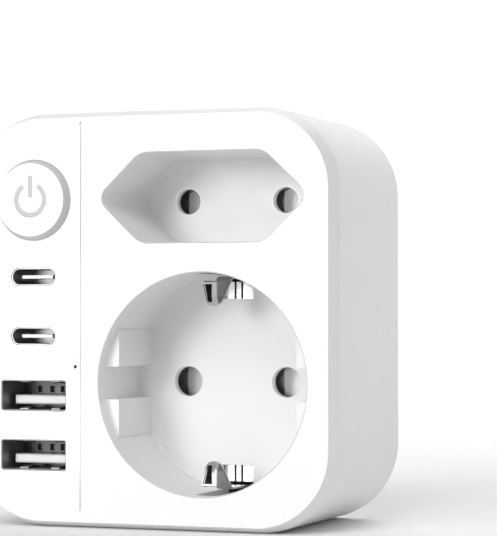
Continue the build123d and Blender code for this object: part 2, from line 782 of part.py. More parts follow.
os.makedirs("parts", exist_ok=True)
for name, part in parts.items():
    export_step(part, f"parts/{name}.step")
print(len(parts), "pieces")
stem_room = switch_front - front_y - button_stem_depth - button_travel
print("room behind the pressed button stem", round(stem_room, 2))
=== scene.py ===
import math

import bmesh
import bpy
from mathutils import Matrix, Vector


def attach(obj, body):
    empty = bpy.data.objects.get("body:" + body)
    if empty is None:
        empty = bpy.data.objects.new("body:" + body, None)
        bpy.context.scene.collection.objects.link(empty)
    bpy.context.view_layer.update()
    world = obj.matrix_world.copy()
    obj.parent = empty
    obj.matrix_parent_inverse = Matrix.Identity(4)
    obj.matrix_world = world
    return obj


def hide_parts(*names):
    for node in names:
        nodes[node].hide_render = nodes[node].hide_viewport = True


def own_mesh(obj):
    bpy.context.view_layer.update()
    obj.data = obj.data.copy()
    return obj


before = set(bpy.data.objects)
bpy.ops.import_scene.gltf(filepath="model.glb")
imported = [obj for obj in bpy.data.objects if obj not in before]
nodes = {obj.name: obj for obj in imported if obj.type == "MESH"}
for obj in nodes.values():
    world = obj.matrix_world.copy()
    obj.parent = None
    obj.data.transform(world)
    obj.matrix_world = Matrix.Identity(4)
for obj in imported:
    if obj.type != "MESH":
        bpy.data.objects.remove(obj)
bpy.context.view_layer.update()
mm = 0.001  # all sizes below are millimetres; X right, Y towards the wall, Z up
near = 0.01  # how close a vertex has to be to a level to be picked there
beyond = 1  # how far a cutter reaches past the faces it goes through
print("frame loaded,", len(nodes), "nodes")


# selecting and adding

def deselectAll():
    if bpy.context.object and bpy.context.object.mode != "OBJECT":
        bpy.ops.object.mode_set(mode="OBJECT")
    bpy.ops.object.select_all(action="DESELECT")


def workOn(piece):
    deselectAll()
    piece.select_set(True)
    bpy.context.view_layer.objects.active = piece


def settle(name):
    # names the new primitive and puts its place into its mesh
    piece = bpy.context.object
    piece.name = piece.data.name = name
    bpy.ops.object.transform_apply(location=True, rotation=True, scale=True)
    return piece


def addBlock(name, xSpan, ySpan, zSpan):
    spans = (xSpan, ySpan, zSpan)
    deselectAll()
    bpy.ops.mesh.primitive_cube_add(size=1, location=[sum(span) / 2 * mm for span in spans],
                                    scale=[(high - low) * mm for low, high in spans])
    return settle(name)


def addPlate(name, place, across, up, rotation=(0, 0, 0)):
    deselectAll()
    bpy.ops.mesh.primitive_plane_add(size=mm, location=[part * mm for part in place], rotation=rotation)
    bpy.context.object.scale = (across, up, 1)
    return settle(name)


def around(middle, half):
    return middle - half, middle + half


def pick(piece, kind, test):
    # selects in edit mode the faces, edges or vertices that pass the test
    if piece.mode != "EDIT":
        workOn(piece)
        bpy.ops.object.mode_set(mode="EDIT")
    bpy.ops.mesh.select_mode(type=kind)
    bpy.ops.mesh.select_all(action="DESELECT")
    mesh = bmesh.from_edit_mesh(piece.data)
    for part in {"FACE": mesh.faces, "EDGE": mesh.edges, "VERT": mesh.verts}[kind]:
        if test(part):
            part.select_set(True)
    mesh.select_flush_mode()
    bmesh.update_edit_mesh(piece.data)


def faceOutwards(piece):
    pick(piece, "FACE", lambda face: True)
    bpy.ops.mesh.normals_make_consistent(inside=False)


def shift(piece, x=0, y=0, z=0):
    pick(piece, "VERT", lambda vertex: True)
    bpy.ops.transform.translate(value=(x * mm, y * mm, z * mm))


def middleOf(part):
    total = Vector((0, 0, 0))
    for vertex in part.verts:
        total += vertex.co
    return total / len(part.verts) / mm


def facing(sign, level):
    # tests for a flat face across Y at that level, looking to the back (1) or the front (-1)
    return lambda face: face.normal.y * sign > 0.99 and abs(middleOf(face).y - level) < near / 2


def alongY(edge):
    first, second = (vertex.co for vertex in edge.verts)
    return abs(first.x - second.x) < near * mm / 100 and abs(first.z - second.z) < near * mm / 100


def allAt(part, level, play=near):
    # tests whether every corner of an edge or face has that Y
    return all(abs(vertex.co.y / mm - level) < play for vertex in part.verts)


def quarterRound(radius, steps):
    # a rounding as steps in and out of the face, each from the end of the one before
    turns = [math.pi / 2 * step / steps for step in range(steps + 1)]
    points = [(radius * (1 - math.cos(turn)), radius * math.sin(turn)) for turn in turns]
    return [(after[0] - before[0], after[1] - before[1]) for before, after in zip(points, points[1:])]


def stepIn(*steps):
    # insets the chosen face again and again: how far in, how far out of the face
    for inwards, outwards in steps:
        bpy.ops.mesh.inset(thickness=inwards * mm, depth=outwards * mm, use_even_offset=True)


def pull(distance):
    bpy.ops.mesh.extrude_region_move(TRANSFORM_OT_translate={"value": (0, distance * mm, 0)})


def roundEdges(radius, segments):
    bpy.ops.mesh.bevel(offset=radius * mm, offset_type="OFFSET", segments=segments, profile=0.5,
                       affect="EDGES", clamp_overlap=False)


def roundedBlock(name, x, z, across, up, radius, ySpan, segments=12):
    piece = addBlock(name, around(x, across / 2), ySpan, around(z, up / 2))
    pick(piece, "EDGE", alongY)
    roundEdges(radius, segments)
    return piece


def turned(name, x, z, profile, sides=64):
    # a solid turned about an axis along Y, from its first end to its last
    place, size = profile[0]
    deselectAll()
    bpy.ops.mesh.primitive_circle_add(vertices=sides, radius=size * mm, fill_type="NGON",
                                      location=(x * mm, place * mm, z * mm), rotation=(math.pi / 2, 0, 0))
    piece = settle(name)
    pick(piece, "FACE", lambda face: True)
    for nextPlace, nextSize in profile[1:]:
        pull(nextPlace - place)
        ratio = nextSize / size
        bpy.ops.transform.resize(value=(ratio, 1, ratio), center_override=(x * mm, nextPlace * mm, z * mm))
        place, size = nextPlace, nextSize
    faceOutwards(piece)
    deselectAll()
    return piece


def arcProfile(place, size, radius, fromAngle, toAngle, steps):
    # points of a rounding for a turned profile: centre's place and size, angle 0 along Y, 90 outwards
    points = []
    for step in range(steps + 1):
        angle = math.radians(fromAngle + (toAngle - fromAngle) * step / steps)
        points.append((place + radius * math.cos(angle), size + radius * math.sin(angle)))
    return points


# joining, cutting and finishing

def joinAll(pieces):
    deselectAll()
    for piece in pieces:
        piece.select_set(True)
    bpy.context.view_layer.objects.active = pieces[0]
    if len(pieces) > 1:
        bpy.ops.object.join()
    return pieces[0]


def modify(piece, kind, **values):
    # adds a modifier with these values and applies it
    workOn(piece)
    bpy.ops.object.modifier_add(type=kind)
    modifier = piece.modifiers[-1]
    for name, value in values.items():
        setattr(modifier, name, value)
    bpy.ops.object.modifier_apply(modifier=modifier.name)


def combine(piece, others, operation):
    # others stand apart from each other, so they work as one
    other = joinAll(others)
    modify(piece, "BOOLEAN", operation=operation, solver="EXACT", object=other)
    workOn(other)
    bpy.ops.object.delete()


def cut(piece, *others):
    combine(piece, list(others), "DIFFERENCE")


def weld(piece, *others):
    combine(piece, list(others), "UNION")


def keepInside(piece, *others):
    combine(piece, list(others), "INTERSECT")


weldedWithin = 0.0005  # corners nearer than this become one


def softenEdges(piece, width, segments=2, angle=32):
    modify(piece, "BEVEL", width=width * mm, segments=segments, limit_method="ANGLE",
           angle_limit=math.radians(angle), use_clamp_overlap=False)


def smooth(piece, angle=40):
    pick(piece, "VERT", lambda vertex: True)
    bpy.ops.mesh.remove_doubles(threshold=weldedWithin * mm)
    workOn(piece)
    bpy.ops.object.shade_smooth_by_angle(angle=math.radians(angle))
    modify(piece, "WEIGHTED_NORMAL", keep_sharp=True, weight=80)
    deselectAll()


def handOver(piece, finish, body, slot, *replaced):
    piece.data.materials.clear()
    piece.data.materials.append(finishes[finish])
    if replaced:
        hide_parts(*replaced)
    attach(piece, body)


# finishes

def newFinish(name):
    material = bpy.data.materials.new(name)
    material.use_nodes = True
    tree = material.node_tree
    shader = tree.nodes["Principled BSDF"]
    place = tree.nodes.new("ShaderNodeTexCoord")
    return material, tree, shader, place.outputs["Object"]


# grain in millimetres and detail of the slow changes in colour and gloss, and between what shares the
# roughness varies
plasticLook = {"cloud": (9.0, 2.0), "wear": (2.5, 4.0), "textureDetail": 2.0, "gloss": (0.85, 1.15),
               "coatRoughness": 0.12}
metalLook = {"tarnish": (2.2, 5.0), "tarnishSpan": (0.25, 0.65), "scratchDetail": 3.0, "gloss": (0.7, 1.35)}
noiseSpan = (0.3, 0.7)  # the part of the noise's range that is used


def noiseOn(tree, place, grain, detail, stretch=(1, 1, 1)):
    # noise with a grain of that size in millimetres
    mapping = tree.nodes.new("ShaderNodeMapping")
    mapping.inputs["Scale"].default_value = stretch
    noise = tree.nodes.new("ShaderNodeTexNoise")
    noise.inputs["Scale"].default_value = 1 / (grain * mm)
    noise.inputs["Detail"].default_value = detail
    tree.links.new(place, mapping.inputs["Vector"])
    tree.links.new(mapping.outputs["Vector"], noise.inputs["Vector"])
    return noise.outputs["Fac"]


def colourFrom(tree, shader, amount, first, second, span=noiseSpan):
    ramp = tree.nodes.new("ShaderNodeValToRGB")
    for element, position, colour in zip(ramp.color_ramp.elements, span, (first, second)):
        element.position = position
        element.color = (*colour, 1)
    tree.links.new(amount, ramp.inputs["Fac"])
    tree.links.new(ramp.outputs["Color"], shader.inputs["Base Color"])


def roughFrom(tree, shader, amount, smoothest, roughest):
    spread = tree.nodes.new("ShaderNodeMapRange")
    values = (*noiseSpan, smoothest, roughest)
    for socket, value in zip(("From Min", "From Max", "To Min", "To Max"), values):
        spread.inputs[socket].default_value = value
    tree.links.new(amount, spread.inputs["Value"])
    tree.links.new(spread.outputs["Result"], shader.inputs["Roughness"])


def bumpFrom(tree, shader, amount, height):
    bump = tree.nodes.new("ShaderNodeBump")
    bump.inputs["Strength"].default_value = 1.0
    bump.inputs["Distance"].default_value = height * mm
    tree.links.new(amount, bump.inputs["Height"])
    tree.links.new(bump.outputs["Normal"], shader.inputs["Normal"])


def tinted(colour, amount):
    return tuple(min(1.0, channel * amount) for channel in colour)


def makePlastic(name, colour, roughness, grain, height, spread, coat=0.0, specular=0.5):
    material, tree, shader, place = newFinish(name)
    look = plasticLook
    cloud = noiseOn(tree, place, *look["cloud"])
    texture = noiseOn(tree, place, grain, look["textureDetail"])
    colourFrom(tree, shader, cloud, tinted(colour, 1 - spread / 2), tinted(colour, 1 + spread / 2))
    smoothest, roughest = (min(1.0, roughness * share) for share in look["gloss"])
    roughFrom(tree, shader, noiseOn(tree, place, *look["wear"]), smoothest, roughest)
    bumpFrom(tree, shader, texture, height)
    shader.inputs["Specular IOR Level"].default_value = specular
    shader.inputs["Coat Weight"].default_value = coat
    shader.inputs["Coat Roughness"].default_value = look["coatRoughness"]
    return material


def makeMetal(name, colour, roughness, grain, height, spread=0.10, stretch=(1, 1, 1)):
    material, tree, shader, place = newFinish(name)
    look = metalLook
    tarnish = noiseOn(tree, place, *look["tarnish"])
    scratches = noiseOn(tree, place, grain, look["scratchDetail"], stretch)
    colourFrom(tree, shader, tarnish, tinted(colour, 1 - spread), colour, look["tarnishSpan"])
    smoothest, roughest = (min(1.0, roughness * share) for share in look["gloss"])
    roughFrom(tree, shader, scratches, smoothest, roughest)
    bumpFrom(tree, shader, scratches, height)
    shader.inputs["Metallic"].default_value = 1.0
    return material


plasticFinishes = {
    # name: colour, roughness, grain and height of the texture in millimetres, spread of the colour and, for
    # some, how much clear coat
    "whiteGloss": ((0.87, 0.87, 0.875), 0.34, 0.25, 0.0015, 0.012),
    "whiteSatin": ((0.86, 0.86, 0.865), 0.42, 0.20, 0.0025, 0.012),
    "whiteInsert": ((0.84, 0.84, 0.85), 0.38, 0.30, 0.002, 0.02),
    "whiteButton": ((0.87, 0.87, 0.875), 0.30, 0.25, 0.001, 0.012),
    # painted shade: the button's side gets this darker grey in place of the shade that falls on it
    "buttonSidePaintedShade": ((0.56, 0.56, 0.57), 0.36, 0.25, 0.001, 0.02),
    "symbolGrey": ((0.55, 0.56, 0.57), 0.45, 0.20, 0.002, 0.05),
    "greyPlastic": ((0.22, 0.222, 0.23), 0.50, 0.22, 0.006, 0.15),
    "blackPlastic": ((0.018, 0.018, 0.020), 0.48, 0.15, 0.005, 0.4),
    "boardGreen": ((0.022, 0.115, 0.050), 0.38, 0.6, 0.010, 0.25, 0.4),
    "ferrite": ((0.055, 0.055, 0.060), 0.72, 0.12, 0.020, 0.35),
    "windingTape": ((0.72, 0.52, 0.075), 0.30, 0.9, 0.008, 0.12),
    "canDark": ((0.022, 0.026, 0.050), 0.32, 0.8, 0.004, 0.3, 0.3),
    "fuseCeramic": ((0.72, 0.69, 0.62), 0.50, 0.16, 0.006, 0.08),
    "ledBody": ((0.80, 0.80, 0.70), 0.22, 0.3, 0.001, 0.06, 0.5),
    "clearPlastic": ((0.26, 0.27, 0.28), 0.10, 0.5, 0.001, 0.03),
    "wireBrown": ((0.115, 0.045, 0.018), 0.45, 0.35, 0.010, 0.2),
    "wireBlue": ((0.020, 0.075, 0.300), 0.45, 0.35, 0.010, 0.2),
    "shutterGrey": ((0.87, 0.87, 0.88), 0.46, 0.22, 0.004, 0.04),
    # painted shade: portCore is a dark grey for the shade deep inside the USB-A port
    "portCore": ((0.17, 0.172, 0.18), 0.45, 0.2, 0.005, 0.2),
    "portWhite": ((0.86, 0.86, 0.865), 0.40, 0.2, 0.003, 0.03),
    "portTongue": ((0.64, 0.64, 0.65), 0.40, 0.2, 0.003, 0.03),
}
metalFinishes = {
    # name: colour, roughness, grain and height of the scratches in millimetres, spread of the colour and
    # how much the scratches are drawn out
    "springSteel": ((0.56, 0.56, 0.57), 0.30, 0.10, 0.002),
    "tinnedBrass": ((0.74, 0.735, 0.72), 0.28, 0.12, 0.003, 0.16),
    "tabMetal": ((0.96, 0.96, 0.955), 0.30, 0.12, 0.002, 0.03),
    "clipMetal": ((0.60, 0.60, 0.60), 0.38, 0.12, 0.003, 0.14),
    # painted shade: the clip's cheek plates get a darker grey than the clip for the shade on them
    "cheekPaintedShade": ((0.30, 0.30, 0.305), 0.38, 0.12, 0.003, 0.20),
    "brass": ((0.80, 0.58, 0.26), 0.28, 0.10, 0.003, 0.22),
    "nickelPlate": ((0.72, 0.70, 0.67), 0.20, 0.05, 0.001, 0.10, (1, 0.08, 1)),
    "screwSteel": ((0.60, 0.60, 0.60), 0.34, 0.07, 0.003),
    "portShell": ((0.32, 0.32, 0.33), 0.48, 0.05, 0.002, 0.10, (1, 0.1, 1)),
    "portSteel": ((0.30, 0.30, 0.305), 0.40, 0.05, 0.002, 0.10, (1, 0.1, 1)),
    # painted shade: the plates inside the clip's fold are near black for the shade in the fold
    "foldPaintedShade": ((0.05, 0.05, 0.052), 0.48, 0.12, 0.003, 0.20),
    "goldPlate": ((0.93, 0.68, 0.28), 0.22, 0.08, 0.001),
}
finishes = {}
for name, values in plasticFinishes.items():
    finishes[name] = makePlastic(name, *values)
for name, values in metalFinishes.items():
    finishes[name] = makeMetal(name, *values)

carriedOver = {
    # CAD nodes whose shape is right, by finish
    "blackPlastic": "switch_plunger switch_body bridge_rectifier port_chips",
    "springSteel": "button_spring round_shutter_spring flat_shutter_spring",
    "shutterGrey": "round_shutter flat_shutter",
    "greyPlastic": "round_contact_carrier flat_contact_carrier blade_retainer",
    "tinnedBrass": "earth_clip_top earth_clip_bottom earth_bar board_link_pins",
    "brass": "line_bus_bar neutral_bus_bar round_contact_line round_contact_neutral flat_contact_line"
             " flat_contact_neutral",
    "boardGreen": "port_board mains_board",
    "ferrite": "transformer_core input_choke",
    "windingTape": "transformer_winding",
    "canDark": "mains_capacitors output_capacitors",
    "fuseCeramic": "mains_fuse",
    "ledBody": "indicator_led",
    "clearPlastic": "light_pipe",
    "wireBrown": "line_wire",
    "wireBlue": "neutral_wire",
    "screwSteel": "housing_screws board_screws",
    "goldPlate": "usb_a_contacts_upper usb_a_contacts_lower",
    "whiteGloss": "front_cover",
    "whiteSatin": "rear_housing",
    "whiteInsert": "round_socket_insert flat_socket_insert flat_socket_floor",
    "whiteButton": "power_button",
    "symbolGrey": "power_symbol",
    "nickelPlate": "line_blade neutral_blade ground_pin",
    "portShell": "usb_c_shell_upper usb_c_shell_lower usb_a_shell_upper usb_a_shell_lower",
    "portTongue": "usb_c_tongue_upper usb_c_tongue_lower usb_a_tongue_upper usb_a_tongue_lower",
}
for finish, names in carriedOver.items():
    for name in names.split():
        node = nodes[name]
        node.data.materials.clear()
        node.data.materials.append(finishes[finish])
print("finishes made,", len(finishes))


# outlines that several pieces share

housing = {"width": 70.0, "height": 74.0, "corner": 14.5, "sideWall": 1.8, "lap": 0.9, "front": -19.0,
           "back": 19.0, "cornerSteps": 30}
# behind: the back of the floor; railSpan, railHeight: the shutter's rails behind it, from the middle
roundSocket = {"x": 10.5, "z": 25.7, "radius": 19.65, "floorRadius": 19.4, "wall": 1.45, "floor": -1.5,
               "behind": 0.2, "pinSpread": 9.5, "pinHole": 2.7, "railSpan": (-14, 18.9),
               "railHeight": (4.1, 5.1)}
flatSocket = {"x": 10.5, "z": 58.4, "tip": 20.03, "shoulder": 11.64, "halfHeight": 8.05, "tipRadius": 2.4,
              "shoulderRadius": 3.8, "wall": 1.4, "draft": 0.35, "floor": -1.75, "behind": -0.05,
              "pinSpread": 9.4, "pinHole": 2.3, "railSpan": (-13.6, 14.4), "railHeight": (3.7, 4.7)}
socketParts = {"front": -17.0, "floorEdge": 0.3, "railDepth": 6.3, "rooted": 0.1,
               "holeLip": 0.14, "holeEnd": 3, "lipStep": (0.04, 0.05), "edge": 0.04}
ports = {"x": -21.7, "usbC": (44.6, 34.0), "usbA": (23.4, 12.8), "usbCSize": (8.94, 3.26), "usbCSheet": 0.3,
         "usbASize": (12.9, 5.52), "usbASheet": 0.2, "usbACorner": 0.5, "front": -18.9, "boardFront": -4.6}
plug = {"x": 10.5, "z": 42.8, "spread": 6.35, "pinZ": 30.9}
powerKey = {"x": -21.7, "z": 58.3, "radius": 7.2, "topRadius": 6.6, "gap": 0.04, "top": -20.55, "edge": 0.15}
screwPlaces = ((-9.3, 6.2), (-9.3, 67.6), (28.2, 7.1), (28.2, 66.9))
boardScrewPlaces = ((-30.4, 18.1), (-29.8, 39.3), (-14.0, 39.3))
stakePlaces = ((-30.2, 14.5), (-30.2, 59.5), (-9.0, 30.0))
rimCurve = ((0.62, 0.28), (0.38, 0.72))  # a rim's rounding in two steps, in and back, as shares of its lip


def housingBlock(name, inset, front, back):
    return roundedBlock(name, 0, housing["height"] / 2, housing["width"] - 2 * inset,
                        housing["height"] - 2 * inset, housing["corner"] - inset, (front, back),
                        housing["cornerSteps"])


def flatPrism(name, grow, front, back, segments=10):
    # the flat socket's long hexagon, from a six-sided cylinder
    shape = flatSocket
    lean = math.atan2(shape["halfHeight"], shape["tip"] - shape["shoulder"])
    tip = shape["tip"] + grow / math.sin(lean)
    halfHeight = shape["halfHeight"] + grow
    shoulder = shape["shoulder"] + grow * math.tan(lean / 2)
    centre = (shape["x"] * mm, (front + back) / 2 * mm, shape["z"] * mm)
    deselectAll()
    bpy.ops.mesh.primitive_cylinder_add(vertices=6, radius=tip * mm, depth=(back - front) * mm,
                                        location=centre, rotation=(math.pi / 2, math.pi / 2, 0))
    prism = settle(name)
    # of its corners, the two tips are level with the centre and the four shoulders aren't
    level = shape["halfHeight"] / 2 * mm
    pick(prism, "VERT", lambda vertex: abs(vertex.co.z - centre[2]) > level)
    bpy.ops.transform.resize(value=(shoulder / (tip / 2), 1, halfHeight / (tip * math.sin(math.pi / 3))),
                             center_override=centre)
    pick(prism, "EDGE", lambda edge: alongY(edge) and abs(edge.verts[0].co.z - centre[2]) < level)
    roundEdges((shape["tipRadius"] + grow) / math.tan(lean), segments)
    pick(prism, "EDGE", lambda edge: alongY(edge) and abs(edge.verts[0].co.z - centre[2])
         > (halfHeight - near) * mm)
    roundEdges((shape["shoulderRadius"] + grow) / math.tan((math.pi - lean) / 2), segments)
    deselectAll()
    return prism


def portPrism(name, kind, z, grow, front, back):
    across, up = ports[kind + "Size"]
    corner = (up / 2 - near if kind == "usbC" else ports["usbACorner"]) + grow
    return roundedBlock(name, ports["x"], z, across + 2 * grow, up + 2 * grow, corner, (front, back), 10)


def rimmed(prism, lip, reach):
    # carries a cutter on behind the face, narrower, so that the opening it leaves has a rounded rim
    back = max(vertex.co.y for vertex in prism.data.vertices) / mm
    pick(prism, "FACE", facing(1, back))
    stepIn(*[(lip * inwards, lip * outwards) for inwards, outwards in rimCurve])
    pull(reach)
    return prism


# front cover

# the insert's thin collar inside the cover's mouth: how far inside the mouth its two sides are
collar = {"inner": 0.13, "outer": 0.05, "front": -18.93}
coverParts = {
    "seam": -16.05, "seamBand": 0.05, "slim": 0.085, "faceBack": -17.0, "lipEnd": -14.0, "lipLength": 1.85,
    # steps in and forwards from the seam over the bevel to the face, and in and back round the lip
    "bevelSteps": ((0.082, 0.31), (0.131, 0.41), (0.762, 2.06), (0.05, 0.075), (0.09, 0.045)),
    "shoulderSteps": ((0.065, 0.05), (0.85, 0)), "lipEdgeSteps": ((0.12, 0.15), (0.68, 0)),
    "rooted": 0.5, "postRadius": 2.6, "postEnd": 1.8, "boardPostRadius": 1.8, "clearOfWall": 1.9,
    # bores in the posts: radius, how far behind the face they start and where they end
    "bore": (1.05, 7, 3), "boardBore": (0.8, 8, 0),
    # pinhole: place and radius; the light pipe's post behind it: radius and how far behind the face it ends
    "pinhole": (-13.5, 28.6, 0.33), "pinholeWall": 0.35, "pipeRadius": 0.85, "pipePost": (1.5, 5),
    "mouthReach": 2.4, "rimLip": 0.06, "portLip": 0.04, "portGap": 0.03,
    "grooveX": -12.4, "grooveSpan": (3.2, 71.7), "grooveWidth": 0.42, "grooveDepth": 0.33, "dotRadius": 0.4,
}


def makeFrontCover():
    parts = coverParts
    front, faceBack, seam, lip = housing["front"], parts["faceBack"], parts["seam"], parts["rimLip"]
    cover = housingBlock("frontCover", parts["slim"], seam - parts["seamBand"], seam)
    pick(cover, "FACE", facing(-1, seam - parts["seamBand"]))
    stepIn(*parts["bevelSteps"])
    pick(cover, "FACE", facing(1, seam))
    stepIn(*parts["shoulderSteps"])
    pull(parts["lipLength"])
    stepIn(*parts["lipEdgeSteps"])
    pull(faceBack - parts["lipEnd"])
    weld(cover, coverPosts(faceBack - parts["rooted"]))
    cut(cover, *coverBores())
    # mouths of the two sockets, the button and the ports
    x, z, radius = roundSocket["x"], roundSocket["z"], roundSocket["radius"]
    inside = faceBack + parts["rooted"]
    mouths = [turned("mouth", x, z, [(front - beyond, radius + lip), (front, radius + lip),
                                     (front + lip * rimCurve[0][1], radius + lip * rimCurve[1][0]),
                                     (front + lip, radius), (inside, radius)], 144)]
    mouths.append(rimmed(flatPrism("mouth", lip, front - beyond, front), lip, parts["mouthReach"]))
    keyRadius = powerKey["radius"] + powerKey["gap"]
    mouths.append(turned("mouth", powerKey["x"], powerKey["z"],
                         [(front - beyond, keyRadius), (inside, keyRadius)], 96))
    for kind in ("usbC", "usbA"):
        for z in ports[kind]:
            mouth = portPrism("mouth", kind, z, parts["portGap"] + parts["portLip"], front - beyond, front)
            mouths.append(rimmed(mouth, parts["portLip"], parts["mouthReach"]))
    grooveBack = front + parts["grooveDepth"]
    mouths.append(addBlock("mouth", around(parts["grooveX"], parts["grooveWidth"] / 2),
                           (front - beyond, grooveBack), parts["grooveSpan"]))
    cut(cover, *mouths)
    cut(cover, turned("mouth", parts["grooveX"], parts["grooveSpan"][1],
                      [(front - beyond, parts["dotRadius"]), (grooveBack, parts["dotRadius"])], 32))
    smooth(cover, 28)
    handOver(cover, "whiteGloss", "housing", "white_gloss", "front_cover")


def coverPosts(root):
    # posts for the housing screws, the port board and the light pipe, kept off the side walls
    parts = coverParts
    radius, boardRadius = parts["postRadius"], parts["boardPostRadius"]
    posts = [turned("post", x, z, [(root, radius), (parts["postEnd"], radius)]) for x, z in screwPlaces]
    posts += [turned("post", x, z, [(root, boardRadius), (ports["boardFront"], boardRadius)])
              for x, z in boardScrewPlaces]
    pipeRadius, depth = parts["pipePost"]
    posts.append(turned("post", *parts["pinhole"][:2],
                        [(root, pipeRadius), (housing["front"] + depth, pipeRadius)]))
    posts = joinAll(posts)
    keepInside(posts, housingBlock("limit", parts["clearOfWall"], parts["faceBack"] - beyond,
                                   parts["postEnd"] + beyond))
    return posts


def coverBores():
    parts, front = coverParts, housing["front"]
    bores = []
    for places, bore in ((screwPlaces, "bore"), (boardScrewPlaces, "boardBore")):
        radius, depth, end = parts[bore]
        bores += [turned("bore", x, z, [(front + depth, radius), (end, radius)], 32) for x, z in places]
    pinX, pinZ, pinRadius = parts["pinhole"]
    wall, pipeRadius = front + parts["pinholeWall"], parts["pipeRadius"]
    bores.append(turned("bore", pinX, pinZ,
                        [(front - beyond, pinRadius), (wall, pinRadius), (wall, pipeRadius),
                         (front + parts["pipePost"][1] + beyond, pipeRadius)], 32))
    return bores


makeFrontCover()
print("front cover made")


# rear housing with the boss behind the plug

shellParts = {
    "front": -15.14, "inner": 17.4, "edge": 1.5, "edgeSteps": 8, "lipRoom": 2.1, "lipBack": -13.9,
    # steps in and forwards over the seam's edge
    "seamSteps": ((0.0185, 0.43), (0.0475, 0.36), (0.084, 0.07)), "seamEdge": 0.15,
    "bossX": 10.5, "bossZ": 37.0, "bossRadius": 19.0, "bossFront": 17.8, "bossBack": 21.5, "bossEdge": 0.5,
    # the boss's cavity: where it starts and ends, and its radius
    "bossInnerFront": 17.2, "bossInner": 19.7, "bossInnerRadius": 17.2, "rooted": 0.5,
    # radius and front end of the sleeves, the stakes' feet, the stakes and the retainer's stakes
    "sleeve": (3.4, 2.0), "foot": (1.9, 16.2), "stake": (0.85, 14.2), "retainerStake": (1.2, 17.6),
    "retainerSpread": 12.2, "clearOfWall": 1.2,
    "screwHole": 1.4, "pocketRadius": 2.4, "pocketFront": 15.0, "pocketLip": 0.14, "lipStep": 0.04,
    "pinHole": 2.65, "slotWidth": 1.6, "slotHeight": 6.45, "slotLip": 0.12, "slotDepth": 2.5,
    "slotSteps": ((0.08, 0.04), (0.04, 0.08)),
}


def makeRearHousing():
    parts = shellParts
    inner, x, z = parts["inner"], parts["bossX"], parts["bossZ"]
    shell = shellWalls()
    edge = parts["bossEdge"]
    rounding = arcProfile(parts["bossBack"] - edge, parts["bossRadius"] - edge, edge, 90, 0, 6)
    weld(shell, turned("boss", x, z, [(parts["bossFront"], parts["bossRadius"])] + rounding, 160))
    # sleeves for the screws and stakes for the mains board, kept off the side walls
    back = inner + parts["rooted"]
    radius, start = parts["sleeve"]
    sleeves = [turned("sleeve", *place, [(start, radius), (back, radius)]) for place in screwPlaces]
    (radius, start), (footRadius, foot) = parts["stake"], parts["foot"]
    stake = [(start, radius), (foot, radius), (foot, footRadius), (back, footRadius)]
    sleeves += [turned("sleeve", *place, stake, 32) for place in stakePlaces]
    sleeves = joinAll(sleeves)
    keepInside(sleeves, housingBlock("limit", parts["clearOfWall"], parts["sleeve"][1] - beyond,
                                     inner + beyond))
    weld(shell, sleeves)
    cut(shell, turned("cavity", x, z, [(parts["bossInnerFront"], parts["bossInnerRadius"]),
                                       (parts["bossInner"], parts["bossInnerRadius"])], 128))
    radius, start = parts["retainerStake"]
    weld(shell, *[turned("stake", x + side * parts["retainerSpread"], z,
                         [(start, radius), (parts["bossInner"] + parts["rooted"], radius)], 32)
                  for side in (-1, 1)])
    cut(shell, *shellHoles())
    smooth(shell, 28)
    handOver(shell, "whiteSatin", "housing", "white_satin", "rear_housing")


def shellWalls():
    parts = shellParts
    edge, steps = parts["edge"], parts["edgeSteps"]
    shell = housingBlock("rearHousing", 0, parts["front"], housing["back"] - edge)
    pick(shell, "FACE", facing(-1, parts["front"]))
    stepIn(*parts["seamSteps"], (housing["lap"] - parts["seamEdge"], 0))
    pull(parts["lipRoom"])
    stepIn((housing["sideWall"] - housing["lap"], 0))
    pull(parts["inner"] - parts["lipBack"])
    pick(shell, "FACE", facing(1, housing["back"] - edge))
    stepIn(*quarterRound(edge, steps))
    return shell


def shellHoles():
    parts = shellParts
    back, bossBack, lip = housing["back"], parts["bossBack"], parts["slotLip"]
    hole, pocket, front = parts["screwHole"], parts["pocketRadius"], parts["pocketFront"]
    step, wide = parts["lipStep"], pocket + parts["pocketLip"]
    profile = [(parts["sleeve"][1] - beyond, hole), (front, hole), (front, pocket),
               (back - parts["pocketLip"], pocket), (back - step, pocket + step), (back, wide),
               (back + beyond, wide)]
    holes = [turned("pocket", *place, profile, 48) for place in screwPlaces]
    for side in (-1, 1):
        slot = addBlock("slot", around(plug["x"] + side * plug["spread"], parts["slotWidth"] / 2 + lip),
                        (bossBack, bossBack + beyond), around(plug["z"], parts["slotHeight"] / 2 + lip))
        pick(slot, "FACE", facing(-1, bossBack))
        stepIn(*parts["slotSteps"])
        pull(-parts["slotDepth"])
        holes.append(slot)
    pinHole = parts["pinHole"]
    holes.append(turned("hole", plug["x"], plug["pinZ"],
                        [(parts["bossInner"] - beyond, pinHole), (bossBack - lip, pinHole),
                         (bossBack - step, pinHole + step), (bossBack, pinHole + lip),
                         (bossBack + beyond, pinHole + lip)], 64))
    return holes


makeRearHousing()
print("rear housing made")


# round earthed socket

guideParts = {"x": 16.7, "height": (2.9, 9.7), "front": -16.3, "reach": 20.8, "rounding": 0.35}
windowParts = {"half": 3.16, "height": (15.0, 19.0), "front": -1.6}
pocketParts = {"half": 2.2, "height": (18.0, 20.6), "front": -16.0, "padHalf": 3.4, "padReach": 21.9}


def aboveAndBelow(name, z, xSpan, ySpan, zSpan):
    return [addBlock(name, xSpan, ySpan, sorted((z + side * zSpan[0], z + side * zSpan[1])))
            for side in (-1, 1)]


